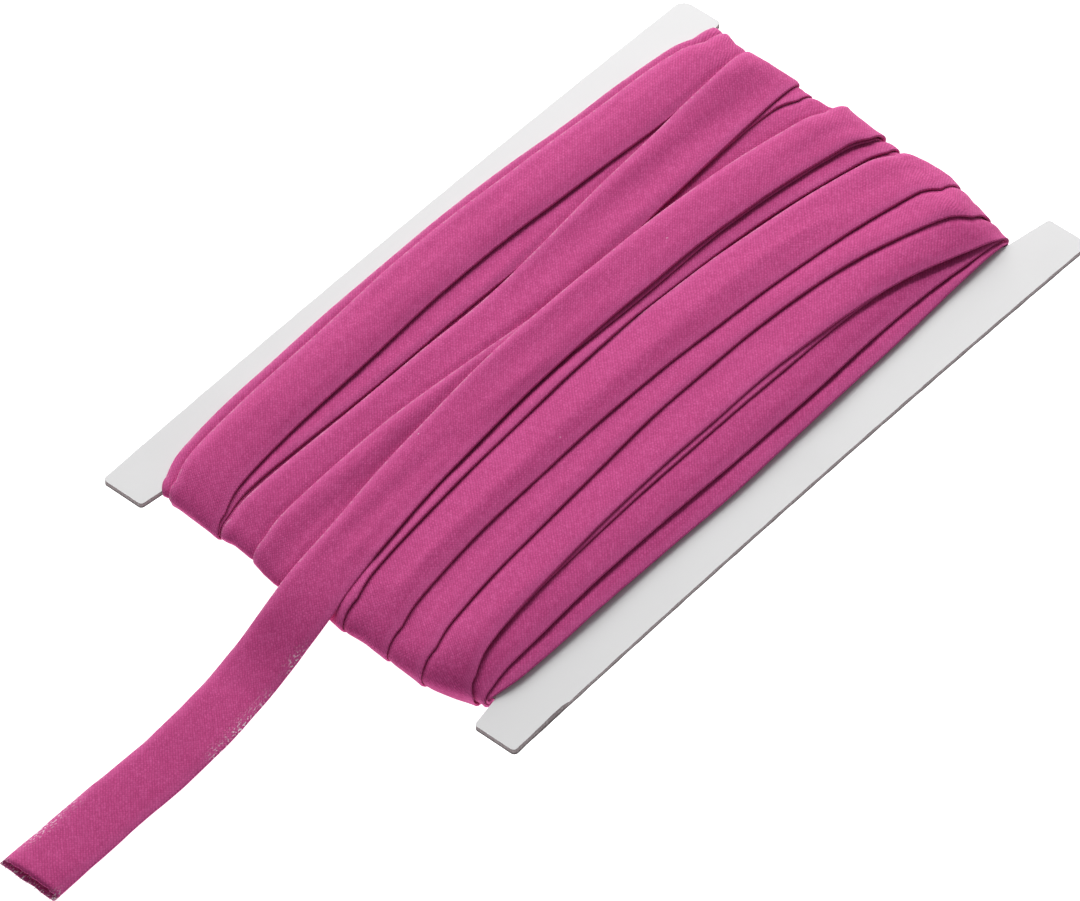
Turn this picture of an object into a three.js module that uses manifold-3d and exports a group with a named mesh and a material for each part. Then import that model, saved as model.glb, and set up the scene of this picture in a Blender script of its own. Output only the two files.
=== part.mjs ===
// Roll of bias binding: a notched board card, wound lengthwise with folded cotton
// tape, whose last end leaves over one notch and lies loose on the surface.
// Millimetres, +Z up. X runs along the card, towards the end without the loose end;
// Y runs across it. The origin is on the surface, under the middle of the card.

import * as THREE from 'three';
import { mergeVertices } from 'three/addons/utils/BufferGeometryUtils.js';
import Module from 'manifold-3d';

const wasm = await Module();
wasm.setup();

// ---------------------------------------------------------------- driving sizes

const CARD = { length: 165, width: 100, thickness: 1.2, bow: 1.6, bowSteps: 26 };
const NOTCH = { depth: 7.5, mouthHalf: 40.4, floorHalf: 39.3 };
const SLANT = { start: -14, full: -28, depth: 4.4 };  // one side of the far notch is cut deeper
const CORNER = { outer: 2.6, sharp: 1.0, mouth: 0.8, floor: 0.6 };
const TRIM = { start: 64, inset: 1.6, back: 1.2 };  // the one lug that is cut narrower to its end

const TAPE = { thickness: 0.66, climb: 0.24, edge: 0.12 };
const GAP = 0.3;            // between neighbouring pieces
const UNDERSIDE = 3.1;     // depth of the pressed laps that the roll lies on
const LEAST_WRAP = 0.45;    // the winding is nowhere thinner than this
const SAG = { full: 45, none: 75, layers: 1.9, most: 0.5 };  // below, laps lie on the surface mid-span
const GRID = { low: -46, high: 50, step: 0.1 };  // across the laps, for stacking them

const COLOURS = { board: 0xe6e6e8, tape: 0xc4458a };

// Where each column of the lap table crosses the card, along X.
const CROSSINGS = {
  near: -79, nearMid: -69, nearHalf: -40, middle: 0, farHalf: 40, farMid: 70, far: 77,
};

// Centre lines of the laps across the upper face, in the order they were wound, and
// the folded width of each. The first ones go from the -Y side to the +Y side, the
// last three come back to the middle.
const LAP_COLUMNS = [
  'far', 'farMid', 'farHalf', 'middle', 'nearHalf', 'nearMid', 'near', 'width',
];
const LAPS = [
  [-23.0, -25.0, -27.1, -29.0, -29.5, -29.8, -31.0, 12.7],
  [-32.4, -32.4, -33.4, -34.9, -34.3, -33.9, -31.9, 12.7],
  [-31.2, -31.0, -30.0, -30.7, -30.1, -30.9, -32.0, 12.7],
  [-26.0, -27.6, -24.1, -23.1, -23.6, -25.2, -28.4, 12.6],
  [-31.7, -30.2, -24.0, -21.8, -23.0, -25.8, -29.7, 12.8],
  [-26.3, -22.0, -14.4, -12.4, -14.4, -17.1, -19.8, 12.7],
  [-16.5, -12.9, -8.2, -5.9, -6.1, -8.6, -11.2, 13.3],
  [-1.6, 0.7, 5.3, 6.5, 4.4, 1.8, -1.0, 12.6],
  [7.0, 10.0, 11.6, 12.0, 9.8, 7.0, 4.5, 12.7],
  [20.4, 22.8, 22.4, 21.5, 21.2, 20.4, 18.3, 12.7],
  [32.4, 35.9, 37.9, 39.5, 38.8, 36.8, 32.3, 12.7],
  [29.0, 30.5, 31.3, 31.8, 32.5, 33.2, 31.2, 12.8],
  [31.2, 34.3, 36.2, 37.8, 36.6, 34.5, 30.7, 12.2],
  [24.4, 23.9, 21.8, 18.8, 19.1, 19.7, 17.9, 12.8],
  [2.1, 4.6, 8.1, 8.6, 12.3, 12.2, 10.2, 11.4],
  [1.9, 4.5, 8.1, 8.6, 6.5, 2.8, 1.0, 11.3],
].map((row) => Object.fromEntries(LAP_COLUMNS.map((name, i) => [name, row[i]])));
const LAST = LAPS.length - 1;

// Stations along the loop: along X above and below the card, and by angle at its ends.
const STATIONS = {
  above: [75, 72.5, 69, 62, 54, 42, 28, 14, 0, -14, -28, -42, -54, -63, -67, -70, -72, -72.4, -75],
  below: [-75, -67, -57, -45, -22, 0, 22, 45, 57, 67, 75],
  bend: [30, 60, 90, 120, 150],
};
const SLANT_FROM = 50;      // the laps shorten towards the deeper side from here on

// How far the laps reach out at the bends, from the card's edge, where each crosses it:
// looser than their own thickness in the middle, and drawn in at the corners.
const SHOULDER = { far: 5, near: 9 };   // the upper face rounds off over this length
const REACH = {
  far: [[-40, 1.6], [-34.7, 3.4], [-28.9, 4.9], [-22, 5.3], [-17, 4.8], [-11, 3.5], [-6, 3.0],
    [1, 4.2], [7, 5.2], [11, 3.3], [16, 3.3], [20, 4.6], [34, 4.5], [38, 5.5], [46, 5.5]],
  near: [[-41, 1.0], [-35.3, 2.9], [-29.2, 5.0], [-26, 5.6], [-11, 5.3], [5, 5.4], [10, 5.6],
    [15.5, 4.0], [21.4, 3.2], [26, 3.9], [39, 2.9], [43, 1.5]],
};
const LAST_LAP_END = -72.2; // where the last lap goes on as the loose end

// The loose end: its centre line, its underside and its width, from the last lap to the cut.
const LOOSE_END = { thickness: 1.0, cut: -158 };
const LOOSE_COLUMNS = ['x', 'y', 'under', 'width'];
const LOOSE_ROUTE = [
  [-72.8, 2.6, 7.05, 11.9],
  [-76.0, 2.0, 6.75, 11.9],
  [-79.0, 1.5, 6.2, 12.0],
  [-82.5, 1.0, 5.3, 12.1],
  [-86.5, 0.6, 3.9, 12.1],
  [-91.0, 0.4, 2.2, 12.1],
  [-96.0, 0.1, 0.6, 12.1],
  [-101.5, -0.5, 0.0, 12.1],
  [-108.0, -1.4, 0.0, 12.2],
  [-118.0, -2.2, 0.0, 12.3],
  [-130.0, -2.3, 0.0, 12.5],
  [-144.0, -2.3, 0.0, 12.8],
  [LOOSE_END.cut, -2.4, 0.0, 13.1],
].map((row) => Object.fromEntries(LOOSE_COLUMNS.map((name, i) => [name, row[i]])));
const LOOSE_STEPS_PER_ROW = 3;

// ---------------------------------------------------------------- shared geometry

const HALF_LENGTH = CARD.length / 2;
const NOTCH_X = HALF_LENGTH - NOTCH.depth;
const bowAt = (x) => CARD.bow * (1 - (x / HALF_LENGTH) ** 2);
const CARD_Z = UNDERSIDE + GAP - bowAt(NOTCH_X);   // underside of the lugs' ends
const BEND_RADIUS = CARD.thickness / 2 + GAP;
const slantAt = (y) => SLANT.depth * THREE.MathUtils.clamp(
  (SLANT.start - y) / (SLANT.start - SLANT.full), 0, 1);
const cardUnder = (x) => CARD_Z + bowAt(x);
const cardTop = (x) => cardUnder(x) + CARD.thickness;

// Smooth curve through values given at rising places.
function through(places, values, at) {
  const last = places.length - 1;
  const slope = (i) => {
    const a = Math.max(i - 1, 0);
    const b = Math.min(i + 1, last);
    return (values[b] - values[a]) / (places[b] - places[a]);
  };
  let i = 0;
  while (i < last - 1 && at > places[i + 1]) i += 1;
  const span = places[i + 1] - places[i];
  const t = THREE.MathUtils.clamp((at - places[i]) / span, 0, 1);
  const [a, b] = [values[i], values[i + 1]];
  const [da, db] = [slope(i) * span, slope(i + 1) * span];
  return a + t * da + t * t * (3 * (b - a) - 2 * da - db) + t * t * t * (2 * (a - b) + da + db);
}

// A closed mesh from sections of equal point count, joined in a ring or capped.
function loft(sections, ring) {
  const count = sections[0].length;
  const positions = sections.flat().flatMap((p) => [p.x, p.y, p.z]);
  const index = [];
  const joins = ring ? sections.length : sections.length - 1;
  for (let s = 0; s < joins; s += 1) {
    const here = s * count;
    const next = ((s + 1) % sections.length) * count;
    for (let i = 0; i < count; i += 1) {
      const j = (i + 1) % count;
      index.push(here + i, next + i, next + j, here + i, next + j, here + j);
    }
  }
  if (!ring) {
    const end = (sections.length - 1) * count;
    for (let i = 1; i < count - 1; i += 1) {
      index.push(0, i, i + 1, end, end + i + 1, end + i);
    }
  }
  const geometry = new THREE.BufferGeometry();
  geometry.setAttribute('position', new THREE.Float32BufferAttribute(positions, 3));
  geometry.setIndex(index);
  return geometry;
}

function toManifold(geometry) {
  const bare = geometry.clone();
  bare.deleteAttribute('normal');
  bare.deleteAttribute('uv');
  const merged = mergeVertices(bare, 1e-4);
  return new wasm.Manifold(new wasm.Mesh({
    numProp: 3,
    vertProperties: new Float32Array(merged.attributes.position.array),
    triVerts: new Uint32Array(merged.index.array),
  }));
}

function toGeometry(manifold) {
  const mesh = manifold.getMesh();
  const geometry = new THREE.BufferGeometry();
  geometry.setAttribute('position', new THREE.BufferAttribute(mesh.vertProperties, 3));
  geometry.setIndex(new THREE.BufferAttribute(mesh.triVerts, 1));
  return geometry;
}

function piece(name, geometry, color, roughness) {
  const shaded = geometry.index ? geometry.toNonIndexed() : geometry;
  shaded.computeVertexNormals();
  const mesh = new THREE.Mesh(
    shaded,
    new THREE.MeshStandardMaterial({ color, roughness, metalness: 0 }),
  );
  mesh.name = name;
  return mesh;
}

// ---------------------------------------------------------------- the card

// Outline of the card with a notch in each short end, each corner with its radius.
function cardOutline() {
  const l = HALF_LENGTH;
  const w = CARD.width / 2;
  const { outer, mouth, floor } = CORNER;
  const corners = [
    { x: -l, y: NOTCH.mouthHalf, r: mouth },
    { x: -NOTCH_X, y: NOTCH.floorHalf, r: floor },
    { x: -NOTCH_X, y: -NOTCH.floorHalf, r: floor },
    { x: -l, y: -NOTCH.mouthHalf, r: mouth },
    { x: -l, y: -w, r: CORNER.sharp },
    { x: TRIM.start, y: -w, r: outer },
    { x: l - TRIM.back, y: -w + TRIM.inset, r: outer / 2 },
    { x: l - TRIM.back * 2, y: -NOTCH.mouthHalf, r: mouth },
    { x: NOTCH_X - SLANT.depth, y: -NOTCH.floorHalf, r: floor },
    { x: NOTCH_X - SLANT.depth, y: SLANT.full, r: outer },
    { x: NOTCH_X, y: SLANT.start, r: outer },
    { x: NOTCH_X, y: NOTCH.floorHalf, r: floor },
    { x: l, y: NOTCH.mouthHalf, r: mouth },
    { x: l, y: w, r: outer / 2 },
    { x: -l, y: w, r: outer },
  ];
  const shape = new THREE.Shape();
  corners.forEach((corner, i) => {
    const at = new THREE.Vector2(corner.x, corner.y);
    const before = corners.at(i - 1);
    const after = corners[(i + 1) % corners.length];
    const start = new THREE.Vector2(before.x, before.y).sub(at).setLength(corner.r).add(at);
    const end = new THREE.Vector2(after.x, after.y).sub(at).setLength(corner.r).add(at);
    if (i === 0) shape.moveTo(start.x, start.y);
    else shape.lineTo(start.x, start.y);
    shape.quadraticCurveTo(at.x, at.y, end.x, end.y);
  });
  shape.closePath();
  return shape;
}

// A bowed sheet of board, larger than the card, from which the outline is cut.
function bowedBoard() {
  const margin = 5;
  const reach = HALF_LENGTH + margin;
  const side = CARD.width / 2 + margin;
  const sections = [];
  for (let i = 0; i <= CARD.bowSteps; i += 1) {
    const x = THREE.MathUtils.lerp(reach, -reach, i / CARD.bowSteps);
    sections.push([
      new THREE.Vector3(x, side, cardTop(x)),
      new THREE.Vector3(x, -side, cardTop(x)),
      new THREE.Vector3(x, -side, cardUnder(x)),
      new THREE.Vector3(x, side, cardUnder(x)),
    ]);
  }
  return loft(sections, false);
}

function cardGeometry() {
  const depth = CARD_Z + CARD.bow + CARD.thickness + 2 * GAP;
  const cutter = new THREE.ExtrudeGeometry(cardOutline(), {
    depth, bevelEnabled: false, curveSegments: 5,
  });
  return toGeometry(toManifold(bowedBoard()).intersect(toManifold(cutter)));
}

// ---------------------------------------------------------------- the winding

// The inner loop that the tape is wound on: a point and an outward normal per station.
function loopStations() {
  const middle = cardTop(NOTCH_X) - CARD.thickness / 2;
  const above = STATIONS.above.map((x) => {
    const normal = new THREE.Vector3((2 * CARD.bow * x) / HALF_LENGTH ** 2, 0, 1).normalize();
    return { part: 'above', x, point: new THREE.Vector3(x, 0, cardTop(x) + GAP), normal };
  });
  const below = STATIONS.below.map((x) => ({
    part: 'below', x, point: new THREE.Vector3(x, 0, UNDERSIDE), normal: new THREE.Vector3(0, 0, -1),
  }));
  const bend = (part, end) => STATIONS.bend.map((angle) => {
    const turn = THREE.MathUtils.degToRad(angle);
    const normal = new THREE.Vector3(end * Math.sin(turn), 0, -end * Math.cos(turn));
    return {
      part, x: end * NOTCH_X, normal,
      point: new THREE.Vector3(end * NOTCH_X, 0, middle).addScaledVector(normal, BEND_RADIUS),
    };
  });
  return [...above, ...bend('near', -1), ...below, ...bend('far', 1)];
}

// Where a lap's centre line crosses a station. Below the card it leads to the next lap.
function lapCentre(lap, station) {
  const row = LAPS[lap];
  if (station.part === 'near') return row.near;
  if (station.part === 'far') return row.far;
  if (station.part === 'below') {
    const next = LAPS[(lap + 1) % LAPS.length].far;
    const t = THREE.MathUtils.smoothstep(station.x, -NOTCH_X, NOTCH_X);
    return THREE.MathUtils.lerp(row.near, next, t);
  }
  const names = Object.keys(CROSSINGS);
  return through(names.map((n) => CROSSINGS[n]), names.map((n) => row[n]), station.x);
}

// How far out a lap reaches at the bend on one end, for its height over the inner loop.
function reachAt(end, y, height) {
  const table = REACH[end > 0 ? 'far' : 'near'];
  let i = 0;
  while (i < table.length - 2 && y > table[i + 1][0]) i += 1;
  const [[from, a], [to, b]] = [table[i], table[i + 1]];
  const t = THREE.MathUtils.clamp((y - from) / (to - from), 0, 1);
  return height > 0 ? Math.max(THREE.MathUtils.lerp(a, b, t) - BEND_RADIUS, LEAST_WRAP) : 0;
}

// A point of the winding at one station: the upper face rounds off into each bend.
function onWinding(station, y, height) {
  const { part, point, normal } = station;
  const end = Math.sign(point.x);
  const p = point.clone();
  if (part === 'below') return p.addScaledVector(normal, height).setY(y);
  const out = reachAt(end, y, height);
  const shoulder = end > 0 ? SHOULDER.far : SHOULDER.near;
  const arm = shoulder + out;
  if (part === 'above') {
    const past = Math.max(Math.abs(station.x) - NOTCH_X + shoulder, 0);
    p.addScaledVector(normal, height * Math.sqrt(1 - (past / arm) ** 2));
  } else if (normal.z > 0) {
    const start = Math.asin(shoulder / arm);
    const lean = start + (Math.PI / 2 - start) * Math.atan2(Math.abs(normal.x), normal.z) * 2 / Math.PI;
    p.x += end * (arm * Math.sin(lean) - shoulder);
    p.z += height * Math.cos(lean);
  } else {
    p.x += normal.x * out;
    p.z += normal.z * height;
  }
  return p.setY(y);
}

// The last lap ends near the notch, and nothing of it passes below the card.
function lapPasses(lap, station) {
  if (lap < LAST) return true;
  return station.part === 'far' || (station.part === 'above' && station.x > LAST_LAP_END);
}

// Height of the stacked laps over the inner loop, on a fine grid across one station.
// Each lap lies on those before it, and climbs over their edges at a steady slope.
function stackHeights(station) {
  const count = Math.round((GRID.high - GRID.low) / GRID.step) + 1;
  const heights = new Float64Array(count);
  const cell = (y) => Math.round((y - GRID.low) / GRID.step);
  const drop = TAPE.climb * GRID.step;
  LAPS.forEach((row, lap) => {
    if (!lapPasses(lap, station)) return;
    const centre = lapCentre(lap, station);
    const first = cell(centre - row.width / 2);
    const last = cell(centre + row.width / 2);
    for (let i = first + 1; i <= last; i += 1) heights[i] = Math.max(heights[i], heights[i - 1] - drop);
    for (let i = last - 1; i >= first; i -= 1) heights[i] = Math.max(heights[i], heights[i + 1] - drop);
    for (let i = first; i <= last; i += 1) heights[i] += TAPE.thickness;
  });
  return (y) => heights[cell(y)];
}

// Below the card the laps hang free of its bowed face: between the bends they lie on
// the surface, and only places with a single layer stay a little above it.
function sagged(height, station) {
  if (station.part !== 'below') return height;
  const share = 1 - THREE.MathUtils.smoothstep(Math.abs(station.x), SAG.full, SAG.none);
  const above = THREE.MathUtils.clamp(SAG.layers * TAPE.thickness - height, 0, SAG.most);
  return THREE.MathUtils.lerp(height, UNDERSIDE - above, share);
}

function windingSection(station) {
  const heightAt = stackHeights(station);
  const edges = LAPS.flatMap((row, lap) => {
    const centre = lapCentre(lap, station);
    return [centre - row.width / 2, centre + row.width / 2];
  });
  const low = Math.min(...edges);
  const high = Math.max(...edges);
  const columns = edges
    .flatMap((y) => [y - TAPE.edge, y + TAPE.edge])
    .map((y) => THREE.MathUtils.clamp(y, low, high))
    .sort((a, b) => b - a);
  const inside = (y) => THREE.MathUtils.clamp(y, low + TAPE.edge, high - TAPE.edge);
  const at = (y, height) => {
    const p = onWinding(station, y, height);
    const share = THREE.MathUtils.clamp((station.x - SLANT_FROM) / (NOTCH_X - SLANT_FROM), 0, 1);
    const back = share * slantAt(y);
    const lift = station.part === 'below' ? 0 : bowAt(station.x - back) - bowAt(station.x);
    return new THREE.Vector3(p.x - back, y, Math.max(p.z + lift, 0));
  };
  const outer = columns.map((y) => at(y, sagged(Math.max(heightAt(inside(y)), LEAST_WRAP), station)));
  return [...outer, at(low, 0), at(SLANT.full, 0), at(SLANT.start, 0), at(high, 0)];
}

// ---------------------------------------------------------------- the loose end

function looseEndGeometry() {
  const rows = [...LOOSE_ROUTE].reverse();
  const places = rows.map((row) => row.x);
  const column = (name, x) => through(places, rows.map((row) => row[name]), x);
  const steps = (rows.length - 1) * LOOSE_STEPS_PER_ROW;
  const sections = [];
  for (let i = 0; i <= steps; i += 1) {
    const row = Math.min(Math.floor(i / LOOSE_STEPS_PER_ROW), LOOSE_ROUTE.length - 2);
    const t = i / LOOSE_STEPS_PER_ROW - row;
    const x = THREE.MathUtils.lerp(LOOSE_ROUTE[row].x, LOOSE_ROUTE[row + 1].x, t);
    const y = column('y', x);
    const half = column('width', x) / 2;
    const under = Math.max(column('under', x), 0);
    const upper = under + LOOSE_END.thickness;
    sections.push([
      new THREE.Vector3(x, y + half, upper),
      new THREE.Vector3(x, y - half, upper),
      new THREE.Vector3(x, y - half, under),
      new THREE.Vector3(x, y + half, under),
    ]);
  }
  return loft(sections, false);
}

// ---------------------------------------------------------------- the roll

const roll = new THREE.Group();
roll.add(
  piece('card', cardGeometry(), COLOURS.board, 0.8),
  piece('winding', loft(loopStations().map(windingSection), true), COLOURS.tape, 0.85),
  piece('loose_end', looseEndGeometry(), COLOURS.tape, 0.85),
);

export default roll;
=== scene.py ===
"""Roll of bias binding: folded cotton tape wound lengthwise round a notched board card.

Metres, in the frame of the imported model: X along the card, away from the loose end,
Y across it, Z up, with the origin on the surface under the middle of the card. The tape
is one strip of cloth, 25.4 mm wide, with both raw edges folded under. Each of its laps
is laid over the ones wound before it, so the folded edges step and cross as on the roll.
"""

import logging
import math
from dataclasses import dataclass, field
from enum import Enum
from typing import Callable, Optional, Sequence

import bmesh
import bpy
import numpy as np
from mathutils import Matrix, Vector


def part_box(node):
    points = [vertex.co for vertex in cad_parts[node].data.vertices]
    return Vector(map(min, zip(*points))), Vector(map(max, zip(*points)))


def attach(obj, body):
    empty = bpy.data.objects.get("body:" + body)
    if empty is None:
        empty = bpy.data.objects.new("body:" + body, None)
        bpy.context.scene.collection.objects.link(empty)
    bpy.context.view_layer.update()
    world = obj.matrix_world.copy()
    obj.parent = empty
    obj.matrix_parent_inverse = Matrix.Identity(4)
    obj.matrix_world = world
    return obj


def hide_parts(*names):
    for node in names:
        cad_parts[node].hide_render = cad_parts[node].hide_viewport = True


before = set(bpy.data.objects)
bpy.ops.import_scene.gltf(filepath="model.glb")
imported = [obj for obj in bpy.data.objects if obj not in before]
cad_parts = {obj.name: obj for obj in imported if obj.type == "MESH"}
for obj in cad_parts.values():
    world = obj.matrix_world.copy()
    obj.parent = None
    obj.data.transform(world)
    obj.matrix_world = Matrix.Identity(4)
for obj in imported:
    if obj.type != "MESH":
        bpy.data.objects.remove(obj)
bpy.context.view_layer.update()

MM = 0.001
LOG = logging.getLogger("bias_binding")
Array = np.ndarray
Colour = tuple[float, float, float, float]
Place = tuple[float, float, float]
Socket = bpy.types.NodeSocket


# ---------------------------------------------------------------- shared geometry


def smoothstep(value: Array, low: float, high: float) -> Array:
    """Ease from 0 where a value is at its low end to 1 at its high end."""
    t = np.clip((np.asarray(value, float) - low) / (high - low), 0.0, 1.0)
    return t * t * (3.0 - 2.0 * t)


def curve_through(places: Sequence[float], values: Sequence[float], at: Array) -> Array:
    """Smooth curve through values given at rising places.

    Args:
        places: Rising positions.
        values: The curve's value at each position.
        at: Positions where it is read.

    Returns:
        The curve's values there.
    """
    x, y, at = np.asarray(places, float), np.asarray(values, float), np.asarray(at, float)
    slope = np.gradient(y, x)
    slope[1:-1] = (y[2:] - y[:-2]) / (x[2:] - x[:-2])
    i = np.clip(np.searchsorted(x, at) - 1, 0, len(x) - 2)
    span = x[i + 1] - x[i]
    t = np.clip((at - x[i]) / span, 0.0, 1.0)
    a, b, da, db = y[i], y[i + 1], slope[i] * span, slope[i + 1] * span
    return a + t * da + t**2 * (3 * (b - a) - 2 * da - db) + t**3 * (2 * (a - b) + da + db)


@dataclass(frozen=True)
class Wave:
    """Slow unevenness: its height, its mean wavelength, and the seed that picks one of many.

    The wavelength is in the unit of the positions it is read at: metres, or stations.
    """

    height: float
    length: float
    seed: int
    overtones: tuple[float, ...] = (1.0, 0.61, 0.37)
    peak: float = 1.4

    def shape(self, at: Array, number: int = 0) -> Array:
        """Wave of about unit height, the same on each run.

        Args:
            at: Positions along the wave.
            number: Counts on from the seed to another wave.

        Returns:
            The wave at each position.
        """
        rng = np.random.default_rng(self.seed + number)
        total = np.zeros_like(np.asarray(at, float))
        for stretch in self.overtones:
            phase = rng.uniform(0.0, 2 * math.pi)
            wavelength = self.length * stretch
            total += stretch * np.sin(2 * math.pi * np.asarray(at, float) / wavelength + phase)
        return total / self.peak


def read_rows(values: Array, rows: Array, at: Array) -> Array:
    """Read the rows of a grid between its columns.

    Args:
        values: The grid.
        rows: Row that each line of places is read from.
        at: Places along the rows, counted in columns.

    Returns:
        The values there.
    """
    rows, cell = rows[:, None], at.astype(int)
    share = at - cell
    return values[rows, cell] * (1 - share) + values[rows, cell + 1] * share


def blur_rows(values: Array, kernel: Array) -> Array:
    """Spread each row of a grid by a kernel."""
    return np.array([np.convolve(row, kernel, "same") for row in values])


def run_after(steps: Array) -> Array:
    """Distance run before the first of some steps and after each of them."""
    return np.concatenate([[0.0], np.cumsum(steps)])


def link_object(name: str, data: bpy.types.ID) -> bpy.types.Object:
    """Put a mesh, a light or a camera into the scene.

    Args:
        name: The object's name.
        data: What the object shows.

    Returns:
        The new object, at the origin.
    """
    made = bpy.data.objects.new(name, data)
    bpy.context.scene.collection.objects.link(made)
    return made


def smooth_mesh(name: str, points: Array, faces: Sequence[Sequence[int]]) -> bpy.types.Mesh:
    """Make a mesh with smooth shading.

    Args:
        name: The mesh's name.
        points: Vertices, one row of x, y, z each.
        faces: Vertex numbers of each face.

    Returns:
        The new mesh.
    """
    mesh = bpy.data.meshes.new(name)
    mesh.from_pydata(points.tolist(), [], faces)
    mesh.validate()
    mesh.polygons.foreach_set("use_smooth", np.ones(len(mesh.polygons), bool))
    return mesh


# ---------------------------------------------------------------- finishes


@dataclass(frozen=True)
class Grain:
    """Noise pattern: its cycles in one unit of the place it reads, and its octaves."""

    cycles: float
    octaves: float


@dataclass(frozen=True)
class Relief:
    """Bump: its strength and its depth."""

    strength: float
    depth: float


@dataclass(frozen=True)
class Tone:
    """Tint: the values where it starts and where it is full, and its share there."""

    start: float
    full: float
    share: float = 1.0


@dataclass(frozen=True)
class Shading:
    """Uneven shade: dark where a value is low and light where it is high."""

    dark: Tone
    light: Tone


class NodeGraph:
    """A material's node tree, built node by node."""

    MIX_FIRST, MIX_SECOND, MIX_RESULT = 6, 7, 2

    def __init__(self, name: str) -> None:
        """Start a material with a plain shader.

        Args:
            name: The material's name.
        """
        self.material = bpy.data.materials.new(name)
        self.material.use_nodes = True
        self.tree = self.material.node_tree
        self.tree.nodes.clear()
        self.shader = self.node("BsdfPrincipled")
        self.node("OutputMaterial", {"Surface": self.shader.outputs["BSDF"]})

    def node(self, kind: str, inputs: Optional[dict[object, object]] = None,
             **settings: object) -> bpy.types.Node:
        """Add a node.

        Args:
            kind: Its type, after the common prefix.
            inputs: What its sockets take, by name or number.
            settings: Its properties.

        Returns:
            The node.
        """
        made = self.tree.nodes.new(f"ShaderNode{kind}")
        for name, value in settings.items():
            setattr(made, name, value)
        self.feed(made, inputs or {})
        return made

    def feed(self, made: bpy.types.Node, inputs: dict[object, object]) -> None:
        """Fill a node's sockets.

        Args:
            made: The node.
            inputs: A plain value, or the socket to link, for each name or number.
        """
        for name, value in inputs.items():
            if isinstance(value, Socket):
                self.tree.links.new(value, made.inputs[name])
            else:
                made.inputs[name].default_value = value

    def dressed(self, inputs: dict[object, object]) -> bpy.types.Material:
        """Fill the shader's sockets and return the material."""
        self.feed(self.shader, inputs)
        return self.material

    def math(self, operation: str, *values: object) -> Socket:
        """Combine numbers with a Math node."""
        return self.node("Math", dict(enumerate(values)), operation=operation).outputs[0]

    def times(self, first: object, second: object) -> Socket:
        """Multiply two numbers."""
        return self.math("MULTIPLY", first, second)

    def ramp(self, value: object, tone: Tone) -> Socket:
        """Ease a number from 0 at a tone's start to 1 where it is full.

        Args:
            value: The number.
            tone: The two values. The start may be the larger one.

        Returns:
            The eased share.
        """
        flip = tone.start > tone.full
        inputs = {"From Min": min(tone.start, tone.full), "From Max": max(tone.start, tone.full),
                  "To Min": float(flip), "To Max": float(not flip), "Value": value}
        return self.node("MapRange", inputs, interpolation_type="SMOOTHSTEP").outputs[0]

    def mix(self, share: object, first: object, second: object) -> Socket:
        """Mix two colours by a share."""
        inputs = {"Factor": share, self.MIX_FIRST: first, self.MIX_SECOND: second}
        return self.node("Mix", inputs, data_type="RGBA").outputs[self.MIX_RESULT]

    def tint(self, base: object, colour: Colour, value: object, tone: Tone) -> Socket:
        """Tint a colour with another where a value says."""
        return self.mix(self.times(self.ramp(value, tone), tone.share), base, colour)

    def noise(self, place: object, grain: Grain) -> Socket:
        """Noise at a place, from 0 to 1."""
        inputs = {"Scale": grain.cycles, "Detail": grain.octaves, "Vector": place}
        return self.node("TexNoise", inputs).outputs["Fac"]

    def stretched(self, place: object, scale: Place) -> Socket:
        """Scale a place along each axis."""
        return self.node("Mapping", {"Scale": scale, "Vector": place}).outputs[0]

    def plane(self, lengths: Sequence[Socket], sizes: Sequence[float]) -> Socket:
        """Make a place of two lengths, each counted in a size of its own."""
        counts = [self.times(length, 1.0 / size) for length, size in zip(lengths, sizes)]
        return self.node("CombineXYZ", dict(enumerate(counts))).outputs[0]

    def attribute(self, name: str) -> Socket:
        """Read a number that the mesh carries."""
        return self.node("Attribute", attribute_name=name).outputs["Fac"]

    def bump(self, height: object, relief: Relief, normal: Optional[Socket] = None) -> Socket:
        """Turn a height into a normal.

        Args:
            height: The height.
            relief: How strong and how deep it is.
            normal: The normal that it is added to.

        Returns:
            The new normal.
        """
        inputs = {"Strength": relief.strength, "Distance": relief.depth, "Height": height}
        if normal is not None:
            inputs["Normal"] = normal
        return self.node("Bump", inputs).outputs[0]


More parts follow.
